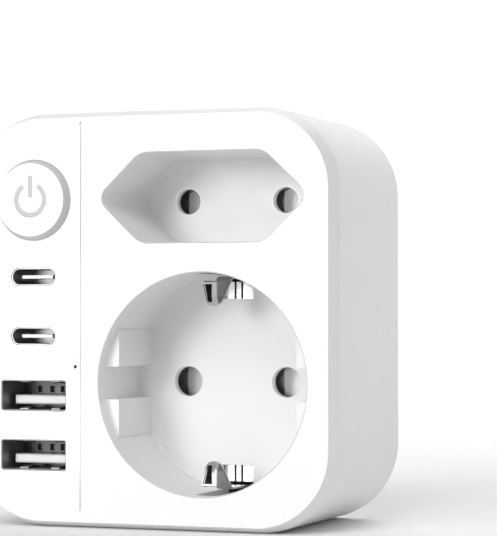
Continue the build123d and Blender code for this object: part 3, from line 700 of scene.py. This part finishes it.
def openFloor(insert, shape):
    # the pin holes through the floor and the rails behind it, and the finish that both inserts get
    radius, floor, lip = shape["pinHole"], shape["floor"], socketParts["holeLip"]
    inwards, outwards = socketParts["lipStep"]
    cut(insert, *[turned("hole", shape["x"] + side * shape["pinSpread"], shape["z"],
                         [(floor - beyond, radius + lip), (floor, radius + lip),
                          (floor + inwards, radius + outwards), (floor + lip, radius),
                          (socketParts["holeEnd"], radius)], 64) for side in (-1, 1)])
    weld(insert, *aboveAndBelow("rail", shape["z"], [shape["x"] + end for end in shape["railSpan"]],
                                (shape["behind"] - socketParts["rooted"],
                                 shape["behind"] + socketParts["railDepth"]), shape["railHeight"]))
    softenEdges(insert, socketParts["edge"])
    smooth(insert)


def makeRoundInsert():
    shape = roundSocket
    x, z, behind = shape["x"], shape["z"], shape["behind"]
    front, floorEdge = socketParts["front"], socketParts["floorEdge"]
    outer = shape["radius"] + shape["wall"]
    collarRadius, recessRadius = shape["radius"] - collar["outer"], shape["radius"] - collar["inner"]
    insert = turned("roundInsert", x, z, [(collar["front"], collarRadius), (front, collarRadius),
                                          (front, outer), (behind, outer)], 144)
    weld(insert, *aboveAndBelow("pad", z, around(x, pocketParts["padHalf"]), (front, behind),
                                (shape["radius"], pocketParts["padReach"])))
    recess = [(housing["front"] - beyond, recessRadius), (front, recessRadius)]
    recess += arcProfile(shape["floor"] - floorEdge, shape["floorRadius"] - floorEdge, floorEdge, 90, 0, 5)
    cut(insert, turned("recess", x, z, recess, 144))
    guides = []
    for side in (-1, 1):
        xSpan = sorted((x + side * guideParts["x"], x + side * (outer + beyond)))
        guides += aboveAndBelow("guide", z, xSpan, (guideParts["front"], behind - near), guideParts["height"])
    guides = joinAll(guides)
    pick(guides, "EDGE", lambda edge: alongY(edge)
         and abs(edge.verts[0].co.x / mm - x) < guideParts["x"] + near)
    roundEdges(guideParts["rounding"], 4)
    keepInside(guides, turned("limit", x, z, [(housing["front"], guideParts["reach"]),
                                              (behind + beyond, guideParts["reach"])], 144))
    weld(insert, guides)
    for name, opening in (("window", windowParts), ("pocket", pocketParts)):
        cut(insert, *aboveAndBelow(name, z, around(x, opening["half"]), (opening["front"], behind + beyond),
                                   opening["height"]))
    openFloor(insert, shape)
    handOver(insert, "whiteInsert", "housing", "white_insert", "round_socket_insert")


makeRoundInsert()
print("round socket made")


# flat two-pin socket

def makeFlatInsert():
    shape, front, floorEdge = flatSocket, socketParts["front"], socketParts["floorEdge"]
    insert = flatPrism("flatInsert", shape["wall"], front, shape["behind"])
    weld(insert, flatPrism("collar", -collar["outer"], collar["front"], front + beyond / 2))
    recess = flatPrism("recess", -collar["inner"], housing["front"] - beyond, front)
    pick(recess, "FACE", facing(1, front))
    deep = shape["floor"] - front
    stepIn((shape["draft"], deep - floorEdge), *quarterRound(floorEdge, 4))
    cut(insert, recess)
    openFloor(insert, shape)
    handOver(insert, "whiteInsert", "housing", "white_insert", "flat_socket_insert", "flat_socket_floor")


makeFlatInsert()
print("flat socket made")


# power button and its symbol

keyParts = {
    "skin": 1.4, "side": 1.25, "flange": 1.05, "flangeSpan": (-16.85, -15.85), "skirt": -14.9,
    "stem": -14.0, "stemRadius": 2.2, "stemHole": 1.3, "stemFloor": 2.6, "softEdge": 0.04,
    # how far the rounding at the top runs in degrees, the dish for the finger: steps inwards and up, and how
    # far from the middle the painted shade on the side starts
    "edgeTurn": 64, "dish": ((2.0, 0), (3.0, -0.05)), "paintedShadeFrom": 6.5,
}
symbolParts = {"radius": 3.1, "band": 0.65, "opening": 38, "barWidth": 0.7, "barLow": 0.45, "barHigh": 4.3,
               "depth": 0.5, "sunk": 0.03, "play": 0.03, "ringSteps": 48, "endFlat": 0.09,
               "edge": 0.03}


def symbolShape(grow, front, back):
    # a ring with an open top, spun from its first end, and an upright bar, all ends rounded
    parts = symbolParts
    x, z = powerKey["x"], powerKey["z"]
    middle, width = parts["radius"] - parts["band"] / 2, parts["band"] + 2 * grow
    opening = math.radians(parts["opening"]) - (grow + parts["band"] / 2) / middle
    start = (x + middle * math.sin(opening), (front + back) / 2, z + middle * math.cos(opening))
    ring = addPlate("symbol", start, width, back - front, (0, math.pi / 2 + opening, 0))
    pick(ring, "FACE", lambda face: True)
    bpy.ops.mesh.spin(steps=parts["ringSteps"], angle=2 * (opening - math.pi), center=(x * mm, 0, z * mm),
                      axis=(0, 1, 0))
    faceOutwards(ring)
    pick(ring, "EDGE", lambda edge: alongY(edge) and edge.calc_face_angle(0) > 1)
    roundEdges(width / 2 - parts["endFlat"], 5)
    low, high, barWidth = parts["barLow"], parts["barHigh"], parts["barWidth"] + 2 * grow
    bar = roundedBlock("bar", x, z + (low + high) / 2, barWidth, high - low + 2 * grow, barWidth / 2 - near,
                       (front, back))
    return joinAll([ring, bar])


def makePowerButton():
    parts = keyParts
    x, z, top, radius, edge = (powerKey[word] for word in ("x", "z", "top", "radius", "edge"))
    hollow, stemRadius, flange = radius - parts["side"], parts["stemRadius"], radius + parts["flange"]
    flangeFront, flangeBack = parts["flangeSpan"]
    profile = [(2 * (top + edge) - place, size) for place, size in
               reversed(arcProfile(top + edge, powerKey["topRadius"] - edge, edge, parts["edgeTurn"], 0, 4))]
    profile += [(housing["front"], radius), (flangeFront, radius), (flangeFront, flange),
                (flangeBack, flange), (flangeBack, radius), (parts["skirt"], radius),
                (parts["skirt"], hollow), (top + parts["skin"], hollow), (top + parts["skin"], stemRadius),
                (parts["stem"], stemRadius)]
    key = turned("powerButton", x, z, profile, 96)
    # the round top is the only face there with many corners
    pick(key, "FACE", lambda face: len(face.verts) > 4 and face.normal.y < -0.9)
    stepIn(*parts["dish"])
    cut(key, symbolShape(symbolParts["play"], top - beyond, top + symbolParts["depth"]))
    cut(key, addBlock("socket", around(x, parts["stemHole"]),
                      (top + parts["stemFloor"], parts["stem"] + beyond), around(z, parts["stemHole"])))
    softenEdges(key, parts["softEdge"])
    smooth(key)
    handOver(key, "whiteButton", "button", "white_button", "power_button")
    # the button's side, away from its middle, gets the darker grey: painted shade on the same white part
    key.data.materials.append(finishes["buttonSidePaintedShade"])
    for face in key.data.polygons:
        fromMiddle = math.hypot(face.center.x / mm - x, face.center.z / mm - z)
        if fromMiddle > parts["paintedShadeFrom"] and face.normal.y > -0.9:
            face.material_index = 1
    symbol = symbolShape(0, top + symbolParts["sunk"], top + symbolParts["depth"])
    symbol.name = symbol.data.name = "powerSymbol"
    softenEdges(symbol, symbolParts["edge"], 2, 50)
    smooth(symbol)
    handOver(symbol, "symbolGrey", "button", "symbol_grey", "power_symbol")


makePowerButton()
print("power button made")


# ports

portParts = {
    # tongue: across, up and where its front edge is; core: where its front is
    "usbCTongue": (6.1, 0.62, -17.5), "usbATongue": (10.9, 1.7, -15.5), "usbCCore": -10.6, "usbACore": -8.8,
    "usbAShift": -0.85, "tongueNose": 0.24, "shellRecess": 0.06, "shellEnd": 0.1,
    "rimSteps": ((0.02, 0.04), (0.04, 0.02)), "tongueEdge": 0.04, "usbCCoreEdge": 0.05, "usbACoreEdge": 0.06,
    "contactPitch": 0.5, "contactCount": 12, "contactWidth": 0.24, "contactSpan": (-17.1, -13.2),
    "contactSheet": (-0.05, 0.025), "contactEdge": 0.015,
    "padPlaces": (-3.6, -1.1, 1.0, 3.5), "padHalf": 0.5, "padSpan": (-14.6, -9.0), "padSheet": (-0.1, 0.03),
    "padEdge": 0.02,
    "slotHalf": 0.5, "slotHeight": (0.25, 1.4), "slotDepth": 1.2,
    # springs of the USB-A shell and the slots they are bent out of
    "springPlace": 3.1, "springHalf": 0.8, "springSheet": 0.22, "springSlotHalf": 1.0,
    "springSlot": (2.2, 7.2), "springBend": 0.5,
    # how far behind the rim and how far into the port the spring stands, from its root
    "springLine": ((7.4, -0.12), (4.6, 0.42), (2.5, 0.05)),
}


def copyMoved(piece, name, x=0, z=0):
    workOn(piece)
    bpy.ops.object.duplicate()
    twin = bpy.context.object
    twin.name = twin.data.name = name
    shift(twin, x=x, z=z)
    deselectAll()
    return twin


def portShell(name, kind, z):
    front, back = ports["front"] + portParts["shellRecess"], ports["boardFront"]
    shell = portPrism(name, kind, z, 0, front, back)
    pick(shell, "FACE", facing(-1, front))
    # over the rounded rim and down to just before the back, which stays closed
    rim = portParts["rimSteps"]
    flat = ports[kind + "Sheet"] - 2 * sum(inwards for inwards, outwards in rim)
    stepIn(*rim, (flat, 0), *[(inwards, -outwards) for inwards, outwards in reversed(rim)])
    pull(back - front - portParts["shellEnd"])
    return shell


def portTongue(name, kind, z, shift):
    across, up, front = portParts[kind + "Tongue"]
    tongue = addBlock(name, around(ports["x"], across / 2), (front, portParts[kind + "Core"] + beyond),
                      around(z + shift, up / 2))
    pick(tongue, "EDGE", lambda edge: allAt(edge, front))
    roundEdges(up * portParts["tongueNose"], 4)
    softenEdges(tongue, portParts["tongueEdge"])
    smooth(tongue)
    return tongue


def portCore(name, kind, z):
    return portPrism(name, kind, z, -ports[kind + "Sheet"], portParts[kind + "Core"], ports["boardFront"])


def repeatAlong(piece, number, offset):
    modify(piece, "ARRAY", count=number, use_relative_offset=False, use_constant_offset=True,
           constant_offset_displace=offset)


def handOverPair(piece, below, finish, slot, node=None):
    # the piece for the upper port and its copy for the lower one
    twin = copyMoved(piece, piece.name.replace("Upper", "Lower"), z=below)
    for made, place in ((piece, "_upper"), (twin, "_lower")):
        handOver(made, finish, "housing", slot, *([node + place] if node else []))


def makePortC():
    z, lower = ports["usbC"]
    shell = portShell("usbCShellUpper", "usbC", z)
    smooth(shell)
    tongue = portTongue("usbCTongueUpper", "usbC", z, 0)
    core = portCore("usbCCoreUpper", "usbC", z)
    softenEdges(core, portParts["usbCCoreEdge"])
    smooth(core)
    up = portParts["usbCTongue"][1]
    pitch, count, sheet = portParts["contactPitch"], portParts["contactCount"], portParts["contactSheet"]
    first = ports["x"] - pitch * (count - 1) / 2
    contacts = addBlock("usbCContactsUpper", around(first, portParts["contactWidth"] / 2),
                        portParts["contactSpan"], [z + up / 2 + level for level in sheet])
    softenEdges(contacts, portParts["contactEdge"], 1)
    repeatAlong(contacts, count, (pitch * mm, 0, 0))
    repeatAlong(contacts, 2, (0, 0, -(up + sum(sheet)) * mm))
    smooth(contacts)
    handOverPair(shell, lower - z, "portSteel", "port_shell", "usb_c_shell")
    handOverPair(tongue, lower - z, "portWhite", "port_tongue", "usb_c_tongue")
    handOverPair(core, lower - z, "portWhite", "port_tongue")
    handOverPair(contacts, lower - z, "goldPlate", "gold_plate")


def latchSpring(x, level, side):
    # a strip bent out of the shell, standing into the port between its root and its free end
    line = portParts["springLine"]
    front, sheet = ports["front"], portParts["springSheet"] / 2
    strip = addBlock("spring", around(x, portParts["springHalf"]), (front + line[2][0], front + line[0][0]),
                     around(level, sheet))
    pick(strip, "EDGE", alongY)
    bpy.ops.mesh.subdivide(number_cuts=1)
    middlePlace = (line[0][0] + line[2][0]) / 2
    for place, into in line:
        stands = place if place in (line[0][0], line[2][0]) else middlePlace
        pick(strip, "VERT", lambda vertex: abs(vertex.co.y / mm - front - stands) < 5 * near)
        bpy.ops.transform.translate(value=(0, (place - stands) * mm, -side * into * mm))
    pick(strip, "EDGE", lambda edge: allAt(edge, front + line[1][0], 5 * near)
         and abs(edge.verts[0].co.x - edge.verts[1].co.x) > portParts["springHalf"] * mm)
    roundEdges(portParts["springBend"], 5)
    return strip


def makePortA():
    z, lower = ports["usbA"]
    shell = portShell("usbAShellUpper", "usbA", z)
    inner = ports["usbASize"][1] / 2 - ports["usbASheet"]
    slots, springs = [], []
    for side in (-1, 1):
        level = z + side * inner
        for x in around(ports["x"], portParts["springPlace"]):
            slots.append(addBlock("slot", around(x, portParts["springSlotHalf"]),
                                  [ports["front"] + place for place in portParts["springSlot"]],
                                  sorted((level - side * 0.1, level + side * beyond))))
            springs.append(latchSpring(x, level, side))
    cut(shell, *slots)
    shell = joinAll([shell] + springs)
    smooth(shell)
    tongue = portTongue("usbATongueUpper", "usbA", z, portParts["usbAShift"])
    core = portCore("usbACoreUpper", "usbA", z)
    front = portParts["usbACore"]
    cut(core, *[addBlock("slot", around(ports["x"] + x, portParts["slotHalf"]),
                         (front - beyond, front + portParts["slotDepth"]),
                         [z + level for level in portParts["slotHeight"]]) for x in portParts["padPlaces"]])
    softenEdges(core, portParts["usbACoreEdge"])
    smooth(core)
    top = z + portParts["usbAShift"] + portParts["usbATongue"][1] / 2
    pads = joinAll([addBlock("usbAContactsUpper", around(ports["x"] + x, portParts["padHalf"]),
                             portParts["padSpan"], [top + level for level in portParts["padSheet"]])
                    for x in portParts["padPlaces"]])
    softenEdges(pads, portParts["padEdge"], 1)
    smooth(pads)
    handOverPair(shell, lower - z, "portShell", "port_shell", "usb_a_shell")
    handOverPair(tongue, lower - z, "portTongue", "port_tongue", "usb_a_tongue")
    # the USB-A core gets the dark grey portCore finish: painted shade for the depth of the port
    handOverPair(core, lower - z, "portCore", "port_tongue")
    handOverPair(pads, lower - z, "goldPlate", "gold_plate", "usb_a_contacts")


makePortC()
makePortA()
print("ports made")


# earth clips and the bar behind them

clipParts = {
    "x": 10.5, "z": 25.7, "sheet": 0.42, "half": 1.5,
    # from the free end over the nose to the root: behind the face and from the socket's middle
    "line": ((4.3, 17.9), (5.2, 15.2), (6.9, 13.5), (8.7, 15.3), (11.6, 18.75), (19.1, 18.85)),
    # outline seen from the front: its sides at the top and at the nose, and the rounding there
    "outlineReach": (13.66, 19.3), "outlineWide": (-1.55, 1.55), "outlineNose": (-1.25, 0.78),
    "noseRounding": 0.9, "edge": 0.07,
    "bends": ((5.2, 0.55), (6.9, 0.95), (8.7, 0.2), (11.6, 0.8)), "bendSteps": 6,
    # slot: behind the face, from the middle, and its sides at the free end and at the nose
    "slotSpan": (2.5, 6.3), "slotReach": (14.3, 17.5), "slotWide": (-1.27, 0.40),
    "slotNarrow": (-0.98, -0.08), "slotNose": 0.06,
    # plates beside the fold: behind the face at the wide end, the sheet and how high they reach
    "plateWide": (4.75, 11.0), "plateSheet": 0.3, "plateHigh": 18.1, "plateEdge": 0.08,
    # each plate: name, which way its sheet goes, outer side at the wide and at the narrow end, how low it
    # reaches and where it is behind the face at the narrow end
    "plates": (("earthClipTopCheek", -1, (1.25, 0.9), 15.3, (5.7, 8.3)),
               ("earthClipTopFold", 1, (-1.3, -1.15), 14.2, (6.3, 7.5))),
}
barParts = {"half": 2.5, "back": (15.6, 16.4), "front": 0.4, "sheet": 0.6, "tabHalf": 4.0, "low": 13.5,
            "high": 18.1, "rooted": 0.2, "tabCorner": 0.5, "pinHole": 1.55, "slits": (-1.02, 0.27),
            "slitHalf": 0.17, "slitLow": 14.9}


def narrowing(name, reach, wide, narrow, ySpan, rounding):
    # a block that narrows towards the nose, where its two corners are rounded
    x, z = clipParts["x"], clipParts["z"]
    low, high = z + reach[0], z + reach[1]
    shape = addBlock(name, (x + wide[0], x + wide[1]), ySpan, (low, high))
    pick(shape, "VERT", lambda vertex: vertex.co.z < (low + near) * mm)
    bpy.ops.transform.resize(value=((narrow[1] - narrow[0]) / (wide[1] - wide[0]), 1, 1),
                             center_override=((x + sum(wide) / 2) * mm, 0, 0))
    bpy.ops.transform.translate(value=((sum(narrow) - sum(wide)) / 2 * mm, 0, 0))
    pick(shape, "EDGE", lambda edge: alongY(edge) and edge.verts[0].co.z < (low + near) * mm)
    roundEdges(rounding, 8)
    return shape


def makeStrip():
    parts = clipParts
    x, z, front = parts["x"], parts["z"], housing["front"]
    line = [(front + back, z + reach) for back, reach in parts["line"]]
    # a plate between the first two places, whose last edge is drawn out along the line
    (firstY, firstZ), (secondY, secondZ) = line[:2]
    length = math.hypot(secondY - firstY, secondZ - firstZ)
    lean = math.atan2(secondZ - firstZ, secondY - firstY)
    strip = addPlate("earthClipTop", (x, (firstY + secondY) / 2, (firstZ + secondZ) / 2), 2 * parts["half"],
                     length, (lean, 0, 0))
    pick(strip, "EDGE", lambda edge: allAt(edge, secondY))
    for before, after in zip(line[1:], line[2:]):
        bpy.ops.mesh.extrude_region_move(TRANSFORM_OT_translate={
            "value": (0, (after[0] - before[0]) * mm, (after[1] - before[1]) * mm)})
    for back, size in parts["bends"]:
        pick(strip, "EDGE", lambda edge: allAt(edge, front + back))
        roundEdges(size, parts["bendSteps"])
    modify(strip, "SOLIDIFY", thickness=parts["sheet"] * mm, offset=0, use_even_offset=True)
    faceOutwards(strip)
    keepInside(strip, narrowing("outline", parts["outlineReach"], parts["outlineWide"], parts["outlineNose"],
                                (front, line[-1][0] + beyond), parts["noseRounding"]))
    left, right = parts["slotNarrow"]
    cut(strip, narrowing("slot", parts["slotReach"], parts["slotWide"], parts["slotNarrow"],
                         [front + place for place in parts["slotSpan"]],
                         (right - left) / 2 - parts["slotNose"]))
    softenEdges(strip, parts["edge"], 2, 50)
    return strip


def makePlates():
    # a plate on each side of the fold, narrower and nearer to the middle at the nose
    parts = clipParts
    x, z, front, wide = parts["x"], parts["z"], housing["front"], parts["plateWide"]
    plates = []
    for name, side, (far, close), low, narrow in parts["plates"]:
        plate = addBlock(name, sorted((x + far, x + far + side * parts["plateSheet"])),
                         (front + wide[0], front + wide[1]), (z + low, z + parts["plateHigh"]))
        pick(plate, "VERT", lambda vertex: vertex.co.z < (z + low + near) * mm)
        middle = front + sum(wide) / 2
        bpy.ops.transform.resize(value=(1, (narrow[1] - narrow[0]) / (wide[1] - wide[0]), 1),
                                 center_override=(0, middle * mm, 0))
        bpy.ops.transform.translate(value=((close - far) * mm, (front + sum(narrow) / 2 - middle) * mm, 0))
        softenEdges(plate, parts["plateEdge"])
        plates.append(plate)
    return plates


def turnedOver(piece, name):
    # the same piece for the lower clip, mirrored in the socket's middle
    workOn(piece)
    bpy.ops.object.duplicate()
    twin = bpy.context.object
    twin.name = twin.data.name = name
    pick(twin, "VERT", lambda vertex: True)
    bpy.ops.transform.resize(value=(1, 1, -1), center_override=(0, 0, clipParts["z"] * mm))
    bpy.ops.mesh.normals_make_consistent(inside=False)
    deselectAll()
    return twin


def makeClips():
    strip = makeStrip()
    cheek, fold = makePlates()
    # the cheek and fold plates get darker metal colours: painted shade beside and inside the clip's fold
    for piece, finish, node in ((strip, "clipMetal", "earth_clip_"), (cheek, "cheekPaintedShade", None),
                                (fold, "foldPaintedShade", None)):
        twin = turnedOver(piece, piece.name.replace("Top", "Bottom"))
        for made, place in ((piece, "top"), (twin, "bottom")):
            smooth(made)
            handOver(made, finish, "clip_" + place, "tinned_brass", *([node + place] if node else []))


def makeEarthBar():
    parts = barParts
    x, z, front = clipParts["x"], clipParts["z"], parts["front"]
    low, sheet = parts["low"], parts["sheet"]
    bar = addBlock("earthBar", around(x, parts["half"]), parts["back"], around(z, low + sheet))
    legs = aboveAndBelow("leg", z, around(x, parts["half"]), (front, parts["back"][0] + parts["rooted"]),
                         (low, low + sheet))
    weld(bar, *legs)
    tabs = aboveAndBelow("tab", z, around(x, parts["tabHalf"]), (front, front + sheet), (low, parts["high"]))
    tabs = joinAll(tabs)
    pick(tabs, "EDGE", lambda edge: alongY(edge) and abs(edge.verts[0].co.z / mm - z) > parts["high"] - near)
    roundEdges(parts["tabCorner"], 4)
    for place in parts["slits"]:
        cut(tabs, *aboveAndBelow("slit", z, around(x + place, parts["slitHalf"]),
                                 (front - beyond, front + 2 * beyond),
                                 (parts["slitLow"], parts["high"] + beyond)))
    weld(bar, tabs)
    cut(bar, turned("hole", plug["x"], plug["pinZ"],
                    [(place, parts["pinHole"]) for place in around(sum(parts["back"]) / 2, 2 * beyond)], 48))
    softenEdges(bar, 0.05)
    smooth(bar)
    handOver(bar, "tabMetal", "housing", "tinned_brass", "earth_bar")


# springs

# the place of the middle line, the ends of the coil along it, radius of the coil and of the wire, turns,
# the joint that squashes it, how far that goes and where the spring's fixed end is
springParts = {
    "buttonSpring": {"along": "Y", "x": -21.7, "z": 58.3, "span": (-18.825, -11.875), "radius": 3.3,
                     "wire": 0.225, "turns": 6, "node": "button_spring", "joint": "button_press",
                     "fixed": -11.6, "travel": 1.5},
    "roundShutterSpring": {"along": "X", "y": 3.3, "z": 25.7, "span": (22.475, 33.025), "radius": 1.45,
                           "wire": 0.175, "turns": 8, "node": "round_shutter_spring",
                           "joint": "round_shutter_slide", "fixed": 33.2, "travel": 5.8},
    "flatShutterSpring": {"along": "X", "y": 3.05, "z": 58.4, "span": (22.175, 33.025), "radius": 1.45,
                          "wire": 0.175, "turns": 8, "node": "flat_shutter_spring",
                          "joint": "flat_shutter_slide", "fixed": 33.2, "travel": 5.2},
}
coilSteps = {"wire": 10, "turn": 24}


def makeSpring(name, parts):
    # a ring of wire screwed along the spring's middle line, both ends closed
    along, wire, turns, fixed = (parts[word] for word in ("along", "wire", "turns", "fixed"))
    start, end = parts["span"]
    if along == "Y":
        middle, anchor = ((parts["x"], place, parts["z"]) for place in (start, fixed))
        aside = (parts["radius"], 0, 0)
    else:
        middle, anchor = ((place, parts["y"], parts["z"]) for place in (start, fixed))
        aside = (0, parts["radius"], 0)
    deselectAll()
    bpy.ops.mesh.primitive_circle_add(vertices=coilSteps["wire"], radius=wire * mm,
                                      location=[place * mm for place in middle])
    spring = bpy.context.object
    spring.name = spring.data.name = name
    shift(spring, *aside)
    steps = coilSteps["turn"] * turns
    modify(spring, "SCREW", axis=along, angle=2 * math.pi * turns, screw_offset=(end - start) * mm,
           steps=steps, render_steps=steps)
    bpy.ops.object.transform_apply(location=True, rotation=True, scale=True)
    pick(spring, "EDGE", lambda edge: edge.is_boundary)
    bpy.ops.mesh.fill_holes(sides=0)
    faceOutwards(spring)
    smooth(spring, 50)
    handOver(spring, "springSteel", "housing", "spring_steel", parts["node"])
    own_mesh(spring)


for name, parts in springParts.items():
    makeSpring(name, parts)
print("springs made")


# plug

bladeParts = {
    "half": 3.175, "sheet": 0.75, "root": 19.5, "tip": 39.2, "holeRadius": 1.75, "holeFromTip": 6.0,
    "edge": 0.12,
    # the tip's two slopes: how long each is, and half the height and the sheet that it ends with
    "slopes": ((1.05, 1.675, 0.75), (0.35, 1.175, 0.40)),
    # front, back and half the height of the shoulder and the tail at the root
    "steps": ((18.95, 19.65, 4.4), (15.2, 19.6, 2.5)),
}
pinParts = {
    "radius": 2.4, "straight": 40.1, "ring": 0.25, "ringEdge": 0.05, "seam": 0.03,
    # places and radii of the tail, the shoulder and the collar
    "root": ((15.2, 1.4), (15.3, 1.5), (18.95, 1.5), (18.95, 3.35), (19.0, 3.4), (19.6, 3.4),
             (19.65, 3.35), (19.65, 2.6), (21.5, 2.6)),
    "domeArc": (88, 4), "domeSteps": 10,
}


def makeBlades():
    parts = bladeParts
    x, z = plug["x"] - plug["spread"], plug["z"]
    tip, half, sheet = parts["tip"], parts["half"], parts["sheet"]
    slope = tip - sum(length for length, *size in parts["slopes"])
    blade = addBlock("neutralBlade", around(x, sheet), (parts["root"], slope), around(z, half))
    pick(blade, "FACE", facing(1, slope))
    for length, narrowed, thinned in parts["slopes"]:
        pull(length)
        bpy.ops.transform.resize(value=(thinned / sheet, 1, narrowed / half),
                                 center_override=(x * mm, tip * mm, z * mm))
        half, sheet = narrowed, thinned
    for front, back, height in parts["steps"]:
        weld(blade, addBlock("root", around(x, parts["sheet"] - near), (front, back), around(z, height)))
    deselectAll()
    bpy.ops.mesh.primitive_cylinder_add(vertices=48, radius=parts["holeRadius"] * mm, depth=5 * mm,
                                        location=(x * mm, (tip - parts["holeFromTip"]) * mm, z * mm),
                                        rotation=(0, math.pi / 2, 0))
    cut(blade, settle("hole"))
    softenEdges(blade, parts["edge"], 3)
    smooth(blade)
    twin = copyMoved(blade, "lineBlade", x=2 * plug["spread"])
    handOver(blade, "nickelPlate", "housing", "nickel_plate", "neutral_blade")
    handOver(twin, "nickelPlate", "housing", "nickel_plate", "line_blade")


def makeGroundPin():
    parts = pinParts
    straight, radius, ring, edge = (parts[word] for word in ("straight", "radius", "ring", "ringEdge"))
    profile = [*parts["root"], (parts["root"][-1][0], radius), (straight - ring - edge, radius),
               (straight - ring, radius - edge), (straight - ring, radius - ring),
               (straight, radius - ring), (straight, radius - parts["seam"])]
    profile += arcProfile(straight, 0, radius, *parts["domeArc"], parts["domeSteps"])
    pin = turned("groundPin", plug["x"], plug["pinZ"], profile, 72)
    smooth(pin, 50)
    handOver(pin, "nickelPlate", "housing", "nickel_plate", "ground_pin")


makeBlades()
makeGroundPin()
makeClips()
makeEarthBar()
print("plug, earth clips and earth bar made")


# studio

studio = {
    "cameraPlace": (0.16095, -0.3893, 0.0382), "cameraAim": (-0.357, 0.934, 0.0194), "lens": 154.5,
    "sensor": 36, "sees": (0.01, 20), "world": 0.31,
    "floorHalf": 1.6, "wallHeight": 1.8, "sweep": 0.5, "sweepSteps": 16,
    # name: place, target, size, watts
    "lamps": {"keyLamp": ((-0.42, -1.10, 0.30), (0, 0, 0.035), 0.45, 5.3),
              "skyLamp": ((0.15, -0.90, 0.90), (0, 0, 0.035), 0.70, 5.4),
              "sideLamp": ((1.00, -0.45, 0.35), (0, 0, 0.035), 0.60, 0.7),
              "wallLamp": ((0.0, 0.75, 1.20), (0, 1.6, 0.45), 1.0, 18.0)},
    # small spots on the ports: how far to the left in degrees, how far away in metres, their size in
    # millimetres, and for each row its height, cone and watts
    "spotAngles": (6, 11, 16), "spotAway": 0.8, "spotSize": 4,
    "spotRows": ((39.3, 1.5, 4.5), (18.1, 1.9, 3.5)),
    # nearer ones through the pin holes onto the shutters: watts for the left and the right holes
    "holeAngle": -10, "holeAway": 0.3, "holeSize": 0.5, "holeCone": 1.0, "holeWatts": (1.05, 1.8),
    "softEdge": 0.3,
}


def aimed(data, place, aim):
    # hangs a lamp or the camera at the place, in metres, and turns it along the aim
    holder = bpy.data.objects.new(data.name, data)
    holder.location = place
    holder.rotation_euler = Vector(aim).to_track_quat("-Z", "Y").to_euler()
    bpy.context.scene.collection.objects.link(holder)
    return holder


def addSpot(name, place, angle, away, cone, size, power):
    # place and size in millimetres, angle in degrees to the left of straight ahead
    turn = math.radians(angle)
    spot = bpy.data.lights.new(name, "SPOT")
    spot.spot_size = math.radians(cone)
    spot.spot_blend = studio["softEdge"]
    spot.shadow_soft_size = size * mm
    spot.energy = power
    target = Vector(place) * mm
    start = target - Vector((math.sin(turn), math.cos(turn), 0)) * away
    aimed(spot, start, target - start)


def addLights():
    for name, (place, target, size, power) in studio["lamps"].items():
        lamp = bpy.data.lights.new(name, "AREA")
        lamp.shape = "DISK"
        lamp.size = size
        lamp.energy = power
        aimed(lamp, place, Vector(target) - Vector(place))
    for height, cone, power in studio["spotRows"]:
        for angle in studio["spotAngles"]:
            addSpot("portSpot", (ports["x"], ports["front"], height), angle, studio["spotAway"], cone,
                    studio["spotSize"], power)
    for socket in (roundSocket, flatSocket):
        for side, power in zip((-1, 1), studio["holeWatts"]):
            addSpot("holeSpot", (socket["x"] + side * socket["pinSpread"], socket["floor"], socket["z"]),
                    studio["holeAngle"], studio["holeAway"], studio["holeCone"], studio["holeSize"], power)


def makeFloor():
    # a plane whose back edge rises in a wide curve to the wall
    half = studio["floorHalf"]
    deselectAll()
    bpy.ops.mesh.primitive_plane_add(size=2 * half, location=(0, 0, 0))
    floor = settle("paleFloor")
    pick(floor, "EDGE", lambda edge: allAt(edge, half / mm))
    bpy.ops.mesh.extrude_region_move(TRANSFORM_OT_translate={"value": (0, 0, studio["wallHeight"])})
    pick(floor, "EDGE", lambda edge: allAt(edge, half / mm)
         and all(vertex.co.z < near * mm for vertex in edge.verts))
    bpy.ops.mesh.bevel(offset=studio["sweep"], segments=studio["sweepSteps"], affect="EDGES")
    workOn(floor)
    bpy.ops.object.shade_smooth()
    deselectAll()
    floor.data.materials.append(makePlastic("paleSheet", (0.93, 0.93, 0.93), 0.7, grain=1.5, height=0.01,
                                            spread=0.01, specular=0.2))


def makeStudio():
    makeFloor()
    scene = bpy.context.scene
    world = bpy.data.worlds.new("studioWorld")
    scene.world = world
    world.use_nodes = True
    background = world.node_tree.nodes["Background"]
    background.inputs["Color"].default_value = (1, 1, 1, 1)
    background.inputs["Strength"].default_value = studio["world"]
    addLights()
    lens = bpy.data.cameras.new("photoCamera")
    lens.lens = studio["lens"]
    lens.sensor_width = studio["sensor"]
    lens.clip_start, lens.clip_end = studio["sees"]
    scene.camera = aimed(lens, studio["cameraPlace"], studio["cameraAim"])
    scene.view_settings.view_transform = "Standard"


makeStudio()
print("studio set")
